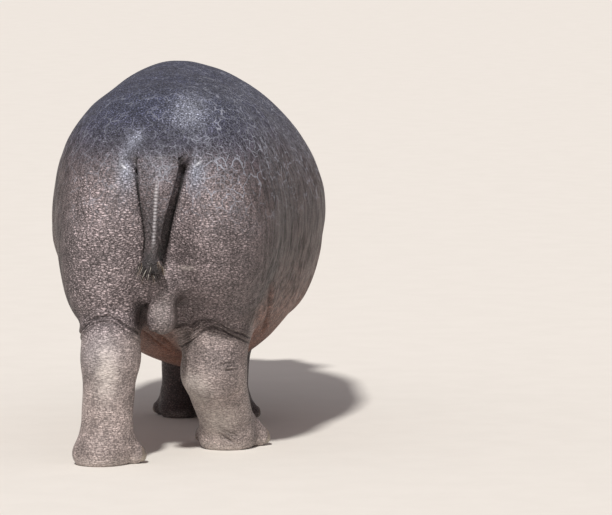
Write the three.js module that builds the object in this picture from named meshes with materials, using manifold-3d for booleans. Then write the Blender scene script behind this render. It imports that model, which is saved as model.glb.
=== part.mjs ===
// A common hippopotamus in mid-stride, life size. Millimetres; +X is ahead, +Y its left, +Z up.
// Its form is one blended distance field built from rounded masses (muscle, belly, skull, toes).
// Each named part is that field turned into facets over its own region, cut from its neighbours by thin gaps.
import * as THREE from 'three';
import Module from 'manifold-3d';
import { mergeVertices } from 'three/addons/utils/BufferGeometryUtils.js';

const wasm = await Module();
wasm.setup();

// ---- driving dimensions
const GAP = 0.45;              // air left between neighbouring parts
const BACK_HEIGHT = 1512;      // ground to the top of the barrel
const BARREL = { half_length: 930, half_width: 546, half_depth: 622, x: -330, y: 11, lean: -10 }; // degrees
const BARREL_Z = BACK_HEIGHT - BARREL.half_depth;
const HEAD_AT = [800, 0, 975]; // back of the skull, on the axis of the head
const HEAD_PITCH = 22;         // degrees nose down
const EYE = { at: [288, 175, 175], radius: 23 };
const HIND_FEET = { left: [-1385, 240, -24], right: [-805, -190, -8] };   // x, y, heading in degrees
const FORE_FEET = { left: [250, 112, 4], right: [120, -112, -4] };
const FOOT_SCALE = { hind_left: 0.98, hind_right: 1.03, fore: 0.78 };
const TAIL = { top: 1240, tip: 750, root_half_width: 98, tip_half_width: 37 };
const CELL = { // size of the facets along x, y and z
  trunk: [180, 124, 124], rump: [104, 94, 94], neck: [110, 104, 104], head: [62, 56, 56], thigh: [92, 88, 92],
  shank: [68, 66, 90], foot: [66, 62, 50], ear: [21, 20, 21],
};
const COLOURS = { skin: 0x6b625f, belly: 0x8a6f66, nail: 0x8c7c6c, eye: 0x2a1d14 };

// ---- rounded masses as distance fields
const rad = THREE.MathUtils.degToRad;

// Rows of the rotation that takes a world offset into the local axes of something rolled, pitched and yawed.
function turned(roll, pitch, yaw) {
  const q = new THREE.Quaternion().setFromEuler(new THREE.Euler(rad(roll), rad(pitch), rad(yaw), 'ZYX'));
  const back = new THREE.Matrix4().makeRotationFromQuaternion(q.invert());
  return new THREE.Matrix3().setFromMatrix4(back).elements;
}

// Superellipsoid: exponent n across (y, z), m between that and x; near its surface, about a distance.
function egg([cx, cy, cz], [a, b, c], m = 2, n = 2, e = null) {
  return (x, y, z) => {
    let u = x - cx, v = y - cy, w = z - cz;
    if (e) {
      [u, v, w] = [0, 1, 2].map((n) => e[n] * u + e[n + 3] * v + e[n + 6] * w);
    }
    u = Math.abs(u / a) + 1e-7;
    v = Math.abs(v / b) + 1e-7;
    w = Math.abs(w / c) + 1e-7;
    const s = (v ** n + w ** n) ** (1 / n);
    const g = (s ** m + u ** m) ** (1 / m);
    const across = (s / g) ** (m - 1);
    const slope = Math.hypot(
      (u / g) ** (m - 1) / a, across * (v / s) ** (n - 1) / b, across * (w / s) ** (n - 1) / c);
    return (g - 1) / slope;
  };
}

// Round cone from p to q, its sides stretched in y by `wide`.
function bone(p, q, rp, rq, wide = 1) {
  const d = [q[0] - p[0], (q[1] - p[1]) / wide, q[2] - p[2]];
  const dd = d[0] ** 2 + d[1] ** 2 + d[2] ** 2;
  return (x, y, z) => {
    const u = x - p[0], v = (y - p[1]) / wide, w = z - p[2];
    const t = THREE.MathUtils.clamp((u * d[0] + v * d[1] + w * d[2]) / dd, 0, 1);
    return Math.hypot(u - t * d[0], v - t * d[1], w - t * d[2]) - (rp + (rq - rp) * t);
  };
}

// Smooth union of two distances over a band k wide, and of whole fields.
function soft(a, b, k) {
  const h = THREE.MathUtils.clamp(0.5 + (0.5 * (b - a)) / k, 0, 1);
  return b + (a - b) * h - k * h * (1 - h);
}
const blend = (k, f, ...rest) => rest.reduce((done, g) => (x, y, z) => soft(done(x, y, z), g(x, y, z), k), f);
const carve = (k, f, g) => (x, y, z) => -soft(-f(x, y, z), g(x, y, z), k);
const pair = (k, f) => (x, y, z) => soft(f(x, y, z), f(x, -y, z), k);

// ---- the animal's masses
const trunkMasses = blend(
  80,
  blend(
    120,
    blend(
      140,
      blend(
        160,
        blend(
          140,
          egg(
            [BARREL.x, BARREL.y, BARREL_Z], [BARREL.half_length, BARREL.half_width, BARREL.half_depth],
            2.2, 1.76, turned(BARREL.lean, 0, 0)),
          egg([-930, 24, 1010], [550, 443, 448], 2.3, 2.2), // croup
        ),
        egg([330, 0, 865], [500, 440, 500], 2.2), // chest and withers
      ),
      bone([460, 0, 930], [860, 0, 930], 410, 280, 0.86), // neck
    ),
    egg([800, 0, 750], [280, 210, 210]), // throat
  ),
  pair(40, egg([-1250, 192, 960], [300, 185, 300])), // buttocks
);
const PERINEUM = { at: [-1398, 8, 604], radii: [84, 62, 80] };

const headTurn = turned(0, HEAD_PITCH, 0);
function toHead(x, y, z) {
  const u = x - HEAD_AT[0], v = y - HEAD_AT[1], w = z - HEAD_AT[2], e = headTurn;
  return [e[0] * u + e[3] * v + e[6] * w, e[1] * u + e[4] * v + e[7] * w, e[2] * u + e[5] * v + e[8] * w];
}
const inHead = (f) => (x, y, z) => f(...toHead(x, y, z));

// Head masses are given in the head's own frame: ahead along the skull, left, up.
const skull = blend(70,
  blend(50,
    blend(50,
      blend(80,
        blend(70,
          blend(90,
            blend(100,
              egg([80, 0, 15], [280, 205, 190], 2.2), // cranium
              egg([420, 0, 0], [290, 148, 130], 2.6)), // bridge of the snout
            pair(80, egg([130, 130, -140], [210, 110, 180], 2.2))), // angles of the jaw
          pair(80, egg([330, 120, -150], [210, 85, 105]))), // cheeks
        egg([660, 0, 5], [150, 215, 130], 3)), // muzzle
      pair(60, egg([655, 150, -45], [135, 92, 112], 2.3))), // roots of the upper tusks
    pair(50, egg([720, 84, 118], [80, 56, 50]))), // nostril mounds
  pair(60, egg([275, 125, 158], [92, 64, 62]))); // brows over the eyes
const jaw = blend(50,
  egg([490, 0, -200], [270, 170, 85], 2.6),
  pair(60, egg([645, 118, -178], [110, 85, 85])));
const head = inHead(blend(30, skull, jaw));

const EAR = [5, 190, 175];
const earTurn = turned(-32, -14, 32);
const ear = blend(30,
  carve(12,
    egg([EAR[0], EAR[1], EAR[2] + 40], [30, 50, 66], 2, 2, earTurn),
    egg([EAR[0] + 28, EAR[1] + 6, EAR[2] + 46], [22, 31, 44], 2, 2, earTurn)),
  bone([0, 165, 110], EAR, 50, 34));

// A broad foot of four spread toes; at = [x, y, heading].
const TOES = [[-58, 118], [-19, 140], [19, 140], [58, 118]]; // direction in degrees, reach
function footFrame([x, y, heading], size, side = 1) {
  const c = Math.cos(rad(heading)), s = Math.sin(rad(heading));
  return {
    into: (px, py, pz) => [
      ((px - x) * c + (py - y) * s) / size, (-(px - x) * s + (py - y) * c) / size, pz / size],
    out: (u, v, w) => [x + (u * c - v * s) * size, y + (u * s + v * c) * size, w * size],
    size,
  };
}
const footMass = TOES.reduce((f, [degrees, reach]) => {
  const c = Math.cos(rad(degrees)), s = Math.sin(rad(degrees));
  return blend(22, f, bone([35 * c, 50 * s, 100], [reach * c, reach * s, 40], 58, 43));
}, egg([-5, 0, 45], [130, 112, 80], 2.4));
const foot = (frame) => (x, y, z) => footMass(...frame.into(x, y, z)) * frame.size;

const frames = {
  hind_left: footFrame(HIND_FEET.left, FOOT_SCALE.hind_left),
  hind_right: footFrame(HIND_FEET.right, FOOT_SCALE.hind_right),
  fore_left: footFrame(FORE_FEET.left, FOOT_SCALE.fore),
  fore_right: footFrame(FORE_FEET.right, FOOT_SCALE.fore),
};
const thighs = {
  hind_left: blend(80,
    egg([-1160, 205, 870], [360, 215, 300]),
    egg([-1250, 240, 735], [270, 168, 230], 2.2, 2.2),
    egg([-980, 240, 740], [280, 160, 230])),
  hind_right: blend(80,
    egg([-1120, -195, 870], [360, 215, 300]),
    egg([-1035, -185, 705], [260, 158, 220], 2.2, 2.2),
    egg([-880, -215, 730], [270, 160, 230])),
};
const shanks = {
  hind_left: blend(50,
    blend(40,
      blend(30,
        bone([-1170, 225, 600], [-1385, 212, 420], 128, 106, 0.95), // calf
        bone([-1362, 222, 580], [-1395, 212, 420], 114, 107)), // hock tendon
      bone([-1395, 212, 420], [-1395, 230, 120], 104, 98)), // cannon
    foot(frames.hind_left)),
  hind_right: blend(50,
    blend(40,
      blend(30,
        bone([-930, -180, 580], [-1082, -160, 350], 149, 121, 0.92),
        bone([-1070, -180, 560], [-1082, -158, 350], 128, 122)),
      bone([-1075, -158, 318], [-885, -190, 120], 116, 100, 1.05)),
    foot(frames.hind_right)),
};
function foreLimb(side, frame, x) {
  const shoulder = egg([440, side * 235, 720], [250, 200, 330]);
  const arm = blend(50,
    blend(40,
      bone([400, side * 220, 600], [x + 5, side * 104, 330], 170, 94, 0.95),
      bone([x + 5, side * 104, 330], [x - 20, side * 104, 120], 88, 80)),
    foot(frame));
  return { shoulder, arm };
}
const fore = {
  left: foreLimb(1, frames.fore_left, FORE_FEET.left[0]),
  right: foreLimb(-1, frames.fore_right, FORE_FEET.right[0]),
};

// The whole body of flesh without ears and tail.
const body = [
  ['hind_left', thighs.hind_left, shanks.hind_left],
  ['hind_right', thighs.hind_right, shanks.hind_right],
].reduce((f, [, thigh, shank]) => blend(100, f, blend(18, thigh, shank)), blend(100, trunkMasses, head));
// The two forelimbs flow into the chest, and stay clear of each other below it.
const armed = (f, limb) => {
  const chest = blend(140, f, limb.shoulder);
  const width = (z) => 2 + 58 * THREE.MathUtils.smoothstep(z, 260, 400);
  return (x, y, z) => soft(chest(x, y, z), limb.arm(x, y, z), width(z));
};
const flesh = armed(armed(body, fore.left), fore.right);

// Tail: a flat wedge that hangs against the rump, broad at the root; t runs down it and `turn` round it.
function tailSkin(t, turn) {
  const z = TAIL.top + (TAIL.tip - TAIL.top) * t;
  const rounded = Math.sqrt(1 - Math.abs(2 * t - 1) ** 7);
  const narrowing = 1 - THREE.MathUtils.smoothstep(t, 0, 0.85);
  const half = TAIL.tip_half_width + (TAIL.root_half_width - TAIL.tip_half_width) * narrowing;
  const back = -1474 - 82 * Math.sin(1.95 * t ** 0.8);
  return [
    back + (46 - 18 * t) * rounded * Math.cos(turn),
    6 + 22 * t + 12 * THREE.MathUtils.smoothstep(t, 0.7, 0.95) + half * rounded * Math.sin(turn),
    z,
  ];
}

// ---- fields into closed solids
const CORNERS = [0, 1, 2, 3, 4, 5, 6, 7].map((i) => [i & 1, (i >> 1) & 1, i >> 2]);
const EDGES = [];
for (let i = 0; i < 8; i++) for (const bit of [1, 2, 4]) if (!(i & bit)) EDGES.push([i, i | bit]);

// Facets of field = 0 inside the box: one corner of the net in every cell the surface crosses, drawn onto it.
function net(field, low, high, cell) {
  const size = [0, 1, 2].map((n) => Math.ceil((high[n] - low[n]) / cell[n]) + 1);
  const at = (i, j, k) => (k * size[1] + j) * size[0] + i;
  const limit = (...p) => Math.max(
    field(...p), ...p.map((c, n) => Math.max(low[n] + cell[n] / 2 - c, c - high[n] + cell[n] / 2)));
  const value = new Float64Array(size[0] * size[1] * size[2]);
  for (let k = 0; k < size[2]; k++) {
    for (let j = 0; j < size[1]; j++) {
      for (let i = 0; i < size[0]; i++) {
        value[at(i, j, k)] = limit(...[i, j, k].map((v, n) => low[n] + v * cell[n]));
      }
    }
  }
  // A square of the grid whose corners alternate in and out would join four facets on one edge: its weakest
  // corner yields.
  const stride = [1, size[0], size[0] * size[1]];
  for (let again = true; again;) {
    again = false;
    for (const [a, b] of [[0, 1], [0, 2], [1, 2]]) {
      for (let n = 0; n < value.length - stride[a] - stride[b]; n++) {
        const spot = stride.map((s, axis) => Math.floor(n / s) % size[axis]);
        if (spot[a] === size[a] - 1 || spot[b] === size[b] - 1) continue;
        const ring = [n, n + stride[a], n + stride[a] + stride[b], n + stride[b]];
        const [p, q, r, s] = ring.map((m) => value[m] < 0);
        if (p !== r || q !== s || p === q) continue;
        const weakest = ring.reduce((best, m) => (Math.abs(value[m]) < Math.abs(value[best]) ? m : best));
        value[weakest] = value[weakest] < 0 ? 1 : -1;
        again = true;
      }
    }
  }
  const points = [], faces = [], owner = new Int32Array(value.length).fill(-1), step = Math.min(...cell) / 4;
  for (let k = 0; k < size[2] - 1; k++) {
    for (let j = 0; j < size[1] - 1; j++) {
      for (let i = 0; i < size[0] - 1; i++) {
        const v = CORNERS.map(([a, b, c]) => value[at(i + a, j + b, k + c)]);
        const sum = [0, 0, 0];
        let hits = 0;
        for (const [a, b] of EDGES) {
          if (v[a] < 0 === v[b] < 0) continue;
          const t = v[a] / (v[a] - v[b]);
          for (let n = 0; n < 3; n++) sum[n] += CORNERS[a][n] + t * (CORNERS[b][n] - CORNERS[a][n]);
          hits++;
        }
        if (!hits) continue;
        owner[at(i, j, k)] = points.length / 3;
        const p = sum.map((s, n) => low[n] + cell[n] * ([i, j, k][n] + s / hits));
        for (let pass = 0; pass < 3; pass++) { // slide down the slope of the field, never far out of the cell
          const slope = [0, 1, 2].map((n) => {
            const q = [...p], r = [...p];
            q[n] += 2;
            r[n] -= 2;
            return (limit(...q) - limit(...r)) / 4;
          });
          const steep = Math.max(Math.hypot(...slope) ** 2, 0.2);
          const move = THREE.MathUtils.clamp(limit(...p), -step, step) / steep;
          for (let n = 0; n < 3; n++) p[n] -= slope[n] * move;
        }
        points.push(...p);
      }
    }
  }
  // Wherever the surface crosses a line of the grid, the corners in the four cells round it make one quad.
  for (let k = 0; k < size[2] - 1; k++) {
    for (let j = 0; j < size[1] - 1; j++) {
      for (let i = 0; i < size[0] - 1; i++) {
        const inside = value[at(i, j, k)] < 0;
        const quads = [
          [j && k, value[at(i + 1, j, k)], [i, j - 1, k - 1], [i, j, k - 1], [i, j, k], [i, j - 1, k]],
          [i && k, value[at(i, j + 1, k)], [i - 1, j, k - 1], [i - 1, j, k], [i, j, k], [i, j, k - 1]],
          [i && j, value[at(i, j, k + 1)], [i - 1, j - 1, k], [i, j - 1, k], [i, j, k], [i - 1, j, k]],
        ];
        for (const [within, other, ...ring] of quads) {
          if (!within || inside === other < 0) continue;
          const [a, b, c, d] = ring.map((r) => owner[at(...r)]);
          if (inside) faces.push(a, b, c, a, c, d);
          else faces.push(a, c, b, a, d, c);
        }
      }
    }
  }
  return new wasm.Manifold(new wasm.Mesh({
    numProp: 3, vertProperties: new Float32Array(points), triVerts: new Uint32Array(faces) }));
}

// A three.js geometry as a solid.
function solid(geometry) {
  const g = geometry.clone();
  for (const name of Object.keys(g.attributes)) if (name !== 'position') g.deleteAttribute(name);
  const merged = mergeVertices(g, 1e-3);
  return new wasm.Manifold(new wasm.Mesh({
    numProp: 3,
    vertProperties: new Float32Array(merged.attributes.position.array),
    triVerts: new Uint32Array(merged.index.array),
  }));
}

// A closed skin from rings of points: skin(t, turn) for t from 0 (the top) to 1, both ends shrunk to a point.
function loft(skin, rows, columns) {
  const points = [...skin(0, 0)], faces = [];
  for (let i = 1; i < rows; i++) {
    for (let j = 0; j < columns; j++) points.push(...skin(i / rows, (2 * Math.PI * j) / columns));
  }
  points.push(...skin(1, 0));
  const last = points.length / 3 - 1, at = (i, j) => 1 + (i - 1) * columns + (j % columns);
  for (let j = 0; j < columns; j++) {
    faces.push(0, at(1, j), at(1, j + 1), last, at(rows - 1, j + 1), at(rows - 1, j));
    for (let i = 1; i < rows - 1; i++) {
      faces.push(at(i, j), at(i + 1, j), at(i, j + 1), at(i, j + 1), at(i + 1, j), at(i + 1, j + 1));
    }
  }
  return new wasm.Manifold(new wasm.Mesh({
    numProp: 3, vertProperties: new Float32Array(points), triVerts: new Uint32Array(faces) }));
}

// The same solid with every corner moved out along its normal.
function swollen(body3, by) {
  const mesh = body3.getMesh();
  const g = new THREE.BufferGeometry();
  g.setAttribute('position', new THREE.BufferAttribute(new Float32Array(mesh.vertProperties), 3));
  g.setIndex(new THREE.BufferAttribute(new Uint32Array(mesh.triVerts), 1));
  g.computeVertexNormals();
  const p = g.attributes.position, n = g.attributes.normal;
  for (let i = 0; i < p.count; i++) {
    p.setXYZ(i, p.getX(i) + by * n.getX(i), p.getY(i) + by * n.getY(i), p.getZ(i) + by * n.getZ(i));
  }
  return new wasm.Manifold(new wasm.Mesh({
    numProp: 3, vertProperties: new Float32Array(p.array), triVerts: new Uint32Array(mesh.triVerts) }));
}

// A prism: the outline (pairs in two world axes) run along the third, from lo to hi.
function prism(outline, along, lo, hi, shrink = 0) {
  const n = outline.length;
  const centre = outline.reduce((s, q) => [s[0] + q[0] / n, s[1] + q[1] / n], [0, 0]);
  const inset = outline.map((q) => {
    const d = [q[0] - centre[0], q[1] - centre[1]], l = Math.hypot(...d);
    return new THREE.Vector2(q[0] - (shrink * d[0]) / l, q[1] - (shrink * d[1]) / l);
  });
  const depth = hi - lo - 2 * shrink;
  const g = new THREE.ExtrudeGeometry(new THREE.Shape(inset), { depth, bevelEnabled: false });
  g.translate(0, 0, lo + shrink);
  const m = new THREE.Matrix4();
  if (along === 'x') m.set(0, 0, 1, 0, 1, 0, 0, 0, 0, 1, 0, 0, 0, 0, 0, 1); // outline is (y, z)
  if (along === 'y') m.set(1, 0, 0, 0, 0, 0, -1, 0, 0, 1, 0, 0, 0, 0, 0, 1); // outline is (x, z)
  g.applyMatrix4(m);
  return solid(g);
}

// Everything ahead (towards the local +x) of a plane tipped about y.
function ahead([x, z], tip, shift = 0) {
  const g = new THREE.BoxGeometry(3000, 3000, 3000);
  g.translate(1500 + shift, 0, 0);
  g.rotateY(rad(tip));
  g.translate(x, 0, z);
  return solid(g);
}
const below = (z) => solid(new THREE.BoxGeometry(6000, 4000, 3000).translate(0, 0, z - 1500));

// ---- where the parts meet
const REACH = 4000;
const neckCut = { at: [585, 900], tip: -8 };
const headCut = { at: [HEAD_AT[0] - 65, HEAD_AT[2]], tip: 5 };

// Each limb is what lies inside two crossed prisms: one drawn from behind, one from the side.
const limbOutlines = {
  hind_left: {
    rear: [[8, -200], [8, 470], [80, 605], [620, 930], [900, 930], [900, -200]],
    side: [[-1800, -200], [-1800, 940], [-960, 940], [-690, 730], [-880, 560], [-990, 430], [-990, -200]],
  },
  hind_right: {
    rear: [[-8, -200], [-8, 470], [-80, 605], [-620, 930], [-900, 930], [-900, -200]],
    side: [[-1800, -200], [-1800, 940], [-880, 940], [-600, 720], [-740, 520], [-790, 420], [-790, 250],
      [-560, 240], [-560, -200]],
  },
  fore_left: {
    rear: [[4, -200], [4, 380], [130, 490], [600, 800], [900, 800], [900, -200]],
    side: [[60, -200], [60, 250], [150, 400], [210, 560], [260, 800], [700, 800], [640, 420], [640, -200]],
  },
  fore_right: {
    rear: [[-4, -200], [-4, 380], [-130, 490], [-600, 800], [-900, 800], [-900, -200]],
    side: [[-80, -200], [-80, 250], [40, 360], [150, 560], [220, 800], [700, 800], [640, 420], [640, -200]],
  },
};
function limbCutter(name, shrink) {
  const o = limbOutlines[name];
  const half = REACH / 2;
  return prism(o.rear, 'x', -half, half, shrink).intersect(prism(o.side, 'y', -half, half, shrink));
}

const parts = {};
const ground = below(0);

// Trunk, rump and neck: everything behind the head, less the limbs.
const cutters = Object.fromEntries(Object.keys(limbOutlines).map((name) => [name, limbCutter(name, 0)]));
const tight = Object.fromEntries(Object.keys(limbOutlines).map((name) => [name, limbCutter(name, GAP)]));
const headSide = ahead(headCut.at, headCut.tip);
const neckSide = ahead(neckCut.at, neckCut.tip);
const rumpCut = { at: [-1000, 900], tip: 0 };
const trunkNet = net(flesh, [-1200, -700, 150], [1000, 700, 1650], CELL.trunk);
const rumpNet = net(flesh, [-1700, -700, 350], [-900, 700, 1600], CELL.rump);
const neckNet = net(flesh, [350, -600, 350], [1100, 600, 1500], CELL.neck);
const lessLimbs = (piece) => Object.values(cutters).reduce((s, c) => s.subtract(c), piece);
parts.trunk = lessLimbs(trunkNet.intersect(ahead(rumpCut.at, rumpCut.tip, GAP)).subtract(neckSide));
const perineum = solid(
  new THREE.SphereGeometry(1, 12, 8).scale(...PERINEUM.radii).translate(...PERINEUM.at));
parts.rump = lessLimbs(rumpNet.add(perineum).subtract(ahead(rumpCut.at, rumpCut.tip)));
parts.neck = lessLimbs(neckNet.intersect(ahead(neckCut.at, neckCut.tip, GAP)).subtract(headSide));

// Tail, laid against the rump.
parts.tail = loft(tailSkin, 12, 12).subtract(swollen(parts.rump, GAP));

// Head, jaw, ears and eyes.
const headNet = net(flesh, [600, -400, 350], [1700, 400, 1400], CELL.head).intersect(
  ahead(headCut.at, headCut.tip, GAP));
const toWorld = new THREE.Matrix4().makeTranslation(...HEAD_AT).multiply(
  new THREE.Matrix4().makeRotationY(rad(HEAD_PITCH)));
const gape = [
  [950, -128], [800, -118], [640, -138], [480, -118], [330, -82], [262, -96], [150, -450], [950, -450],
];
function gapeCutter(lower) {
  const shape = new THREE.Shape(gape.map(([u, w], i) => {
    const edge = i < 6 ? lower : 0;
    return new THREE.Vector2(u + (i === 5 || i === 6 ? lower : 0), w - edge);
  }));
  const g = new THREE.ExtrudeGeometry(shape, { depth: 1000, bevelEnabled: false });
  g.translate(0, 0, -500);
  g.applyMatrix4(new THREE.Matrix4().set(1, 0, 0, 0, 0, 0, -1, 0, 0, 1, 0, 0, 0, 0, 0, 1));
  g.applyMatrix4(toWorld);
  return solid(g);
}
function eyeball(side, grow) {
  const g = new THREE.SphereGeometry(EYE.radius + grow, 10, 5);
  g.rotateX(Math.PI / 2);
  g.translate(EYE.at[0], side * EYE.at[1], EYE.at[2]);
  g.applyMatrix4(toWorld);
  return solid(g);
}
parts.lower_jaw = headNet.intersect(gapeCutter(GAP));
parts.head = [1, -1].reduce((s, side) => s.subtract(eyeball(side, GAP)), headNet.subtract(gapeCutter(0)));
for (const [label, side] of [['left', 1], ['right', -1]]) {
  parts[`eye_${label}`] = eyeball(side, 0);
  const field = inHead((u, v, w) => ear(u, side * v, w));
  const box = new THREE.Box3();
  for (const c of CORNERS) {
    const corner = new THREE.Vector3(-90 + 190 * c[0], side * 90, 60 + 270 * c[2]);
    corner.y += side * 190 * c[1];
    box.expandByPoint(corner.applyMatrix4(toWorld));
  }
  parts[`ear_${label}`] = net(field, box.min.toArray(), box.max.toArray(), CELL.ear).subtract(
    swollen(headNet, GAP)).subtract(swollen(parts.neck, GAP));
}

// Limbs: thigh or upper arm, shank or forearm, foot, each with four nails let into the toes.
const JOINTS = {
  hind_left: [470, 150],
  hind_right: [440, 155],
  fore_left: [340, 135],
  fore_right: [340, 135],
};
const NAMES = {
  hind_left: ['thigh_left', 'shank_left', 'hind_foot_left'],
  hind_right: ['thigh_right', 'shank_right', 'hind_foot_right'],
  fore_left: ['upper_arm_left', 'forearm_left', 'fore_foot_left'],
  fore_right: ['upper_arm_right', 'forearm_right', 'fore_foot_right'],
};
function nail(frame, [degrees, reach], grow) {
  const g = new THREE.SphereGeometry(1, 7, 4);
  g.rotateX(Math.PI / 2);
  g.scale(27 * frame.size + grow, 29 * frame.size + grow, 33 * frame.size + grow);
  g.rotateY(rad(-14));
  g.rotateZ(rad(degrees));
  const c = Math.cos(rad(degrees)), s = Math.sin(rad(degrees));
  const [x, y] = frame.out((reach + 24) * c, (reach + 24) * s, 0);
  const heel = frame.out(0, 0, 0), ball = frame.out(1, 0, 0);
  g.rotateZ(Math.atan2(ball[1] - heel[1], ball[0] - heel[0]));
  g.translate(x, y, 38 * frame.size);
  return solid(g);
}
for (const [limb, [upper, lower]] of Object.entries(JOINTS)) {
  const o = limbOutlines[limb];
  const xs = o.side.map((q) => q[0]), side = Math.sign(o.rear[2][0]);
  const xmin = Math.max(Math.min(...xs), -1700), xmax = Math.max(...xs);
  const ys = side > 0 ? [-60, 660] : [-660, 60];
  const [a, b, c] = NAMES[limb];
  const region = (low, high, cell) => (
    net(flesh, [xmin - 80, ys[0], low], [xmax + 80, ys[1], high], cell).intersect(tight[limb]));
  parts[a] = region(upper - 80, 1050, CELL.thigh).subtract(below(upper + GAP / 2));
  parts[b] = region(lower - 90, upper + 90, CELL.shank).intersect(below(upper - GAP / 2)).subtract(
    below(lower + GAP / 2));
  parts[c] = region(-80, lower + 60, CELL.foot).intersect(below(lower - GAP / 2)).subtract(ground);
  TOES.forEach((toe, i) => {
    const name = `nail_${limb}_${i + 1}`;
    parts[name] = nail(frames[limb], toe, 0);
    parts[c] = parts[c].subtract(nail(frames[limb], toe, GAP));
  });
}

// ---- into named meshes, standing on the ground with the middle of the box over the origin
const group = new THREE.Group();
group.name = 'hippopotamus';
function colour(name) {
  if (name.startsWith('nail')) return COLOURS.nail;
  if (name.startsWith('eye')) return COLOURS.eye;
  return name === 'lower_jaw' ? COLOURS.belly : COLOURS.skin;
}
const box = new THREE.Box3();
for (const piece of Object.values(parts)) {
  const { min, max } = piece.boundingBox();
  box.expandByPoint(new THREE.Vector3(...min));
  box.expandByPoint(new THREE.Vector3(...max));
}
const middle = box.getCenter(new THREE.Vector3());
for (const [name, piece] of Object.entries(parts)) {
  const largest = piece.decompose().sort((p, q) => q.volume() - p.volume())[0];
  const mesh = largest.getMesh();
  const g = new THREE.BufferGeometry();
  g.setAttribute('position', new THREE.BufferAttribute(new Float32Array(mesh.vertProperties), 3));
  g.setIndex(new THREE.BufferAttribute(new Uint32Array(mesh.triVerts), 1));
  g.translate(-middle.x, -middle.y, 0);
  g.computeVertexNormals();
  const part = new THREE.Mesh(g, new THREE.MeshStandardMaterial({ color: colour(name), roughness: 0.6 }));
  part.name = name;
  group.add(part);
}
export default group;
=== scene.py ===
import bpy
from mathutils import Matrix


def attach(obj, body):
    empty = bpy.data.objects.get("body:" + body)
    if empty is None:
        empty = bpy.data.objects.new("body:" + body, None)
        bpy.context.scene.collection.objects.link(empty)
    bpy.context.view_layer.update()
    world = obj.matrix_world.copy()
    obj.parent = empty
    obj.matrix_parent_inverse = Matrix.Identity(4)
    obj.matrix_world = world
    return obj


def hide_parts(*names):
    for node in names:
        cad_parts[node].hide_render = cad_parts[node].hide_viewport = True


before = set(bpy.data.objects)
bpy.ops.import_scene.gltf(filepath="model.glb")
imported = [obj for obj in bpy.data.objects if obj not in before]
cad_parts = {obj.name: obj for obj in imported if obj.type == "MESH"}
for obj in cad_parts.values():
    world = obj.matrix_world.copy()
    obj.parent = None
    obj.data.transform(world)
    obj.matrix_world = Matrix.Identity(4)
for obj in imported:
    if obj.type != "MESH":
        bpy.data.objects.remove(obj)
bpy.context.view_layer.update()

import math
import bpy
import numpy as np
import openvdb
from mathutils import Vector

# ---- Trunk -------------------------------------------------------------------------------------------------
# The barrel of an adult cow or bull: ribs, gut and fat under one hide, with the croup
# behind and the chest and neck in front. Each mass is a rounded solid given by the distance
# to it, and they melt into one another.


def turned(roll=0, pitch=0, yaw=0):
    """The rotation that takes an offset into the axes of a thing rolled about x, pitched about y, yawed
    about z: the product of the three plane rotations, in degrees."""
    r, t, w = np.radians([roll, pitch, yaw])
    about_z = np.array([[np.cos(w), -np.sin(w), 0], [np.sin(w), np.cos(w), 0], [0, 0, 1]])
    about_y = np.array([[np.cos(t), 0, np.sin(t)], [0, 1, 0], [-np.sin(t), 0, np.cos(t)]])
    about_x = np.array([[1, 0, 0], [0, np.cos(r), -np.sin(r)], [0, np.sin(r), np.cos(r)]])
    return (about_z @ about_y @ about_x).T.astype(np.float32)


def egg(p, centre, radii, along=2.0, across=2.0, turn=None):
    """Distance to a superellipsoid. With u, v, w the offsets over the radii, s = (v^across +
    w^across)^(1/across) and g = (s^along + u^along)^(1/along); the distance is g - 1 over the slope of g."""
    q = p - np.float32(centre)
    if turn is not None:
        q = q @ turn.T
    r = np.float32(radii)
    u, v, w = (np.abs(q / r) + 1e-7).T
    s = (v**across + w**across) ** (1 / across)
    g = (s**along + u**along) ** (1 / along)
    rim = (s / g) ** (along - 1)
    slope = np.sqrt(((u / g) ** (along - 1) / r[0]) ** 2 + (rim * (v / s) ** (across - 1) / r[1]) ** 2
                    + (rim * (w / s) ** (across - 1) / r[2]) ** 2)
    return (g - 1) / slope


def bone(p, start, end, r_start, r_end, wide=1.0):
    """Distance to a round cone: how far p is from the line start-end, less a radius that runs from r_start
    to r_end. Its sides are stretched in y by `wide`."""
    k = np.float32([1, 1 / wide, 1])
    q, line = (p - np.float32(start)) * k, (np.float32(end) - np.float32(start)) * k
    t = np.clip(q @ line / (line @ line), 0, 1)
    return np.linalg.norm(q - t[:, None] * line, axis=1) - (r_start + (r_end - r_start) * t)


def blend(a, b, k):
    """The smaller of two distances, melted together where they differ by less than k."""
    h = np.clip(0.5 + 0.5 * (b - a) / k, 0, 1)
    return b + (a - b) * h - k * h * (1 - h)


def pair(mass, p, k):
    """A mass and its mirror image in y, melted over k."""
    return blend(mass(p), mass(p * np.float32([1, -1, 1])), k)


def ramp(value, low, high):
    """0 below low, 1 above high, and 3t^2 - 2t^3 between them."""
    t = np.clip((value - low) / (high - low), 0, 1)
    return t * t * (3 - 2 * t)


LEAN = turned(roll=-10)  # the barrel sags a little to its right, ahead of the weight on the left hind leg


def trunk(p):
    """Barrel, croup, chest, neck and throat, then the two buttocks."""
    f = egg(p, (-0.33, 0.011, 0.890), (0.93, 0.546, 0.622), 2.2, 1.76, LEAN)
    f = blend(f, egg(p, (-0.93, 0.024, 1.010), (0.55, 0.443, 0.448), 2.3, 2.20), 0.14)
    f = blend(f, egg(p, (0.33, 0, 0.865), (0.50, 0.44, 0.50), 2.2), 0.16)
    f = blend(f, bone(p, (0.46, 0, 0.93), (0.86, 0, 0.93), 0.41, 0.28, 0.86), 0.14)
    f = blend(f, egg(p, (0.80, 0, 0.75), (0.28, 0.21, 0.21)), 0.12)
    return blend(f, pair(lambda q: egg(q, (-1.25, 0.192, 0.96), (0.30, 0.185, 0.30)), p, 0.04), 0.08)


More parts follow.
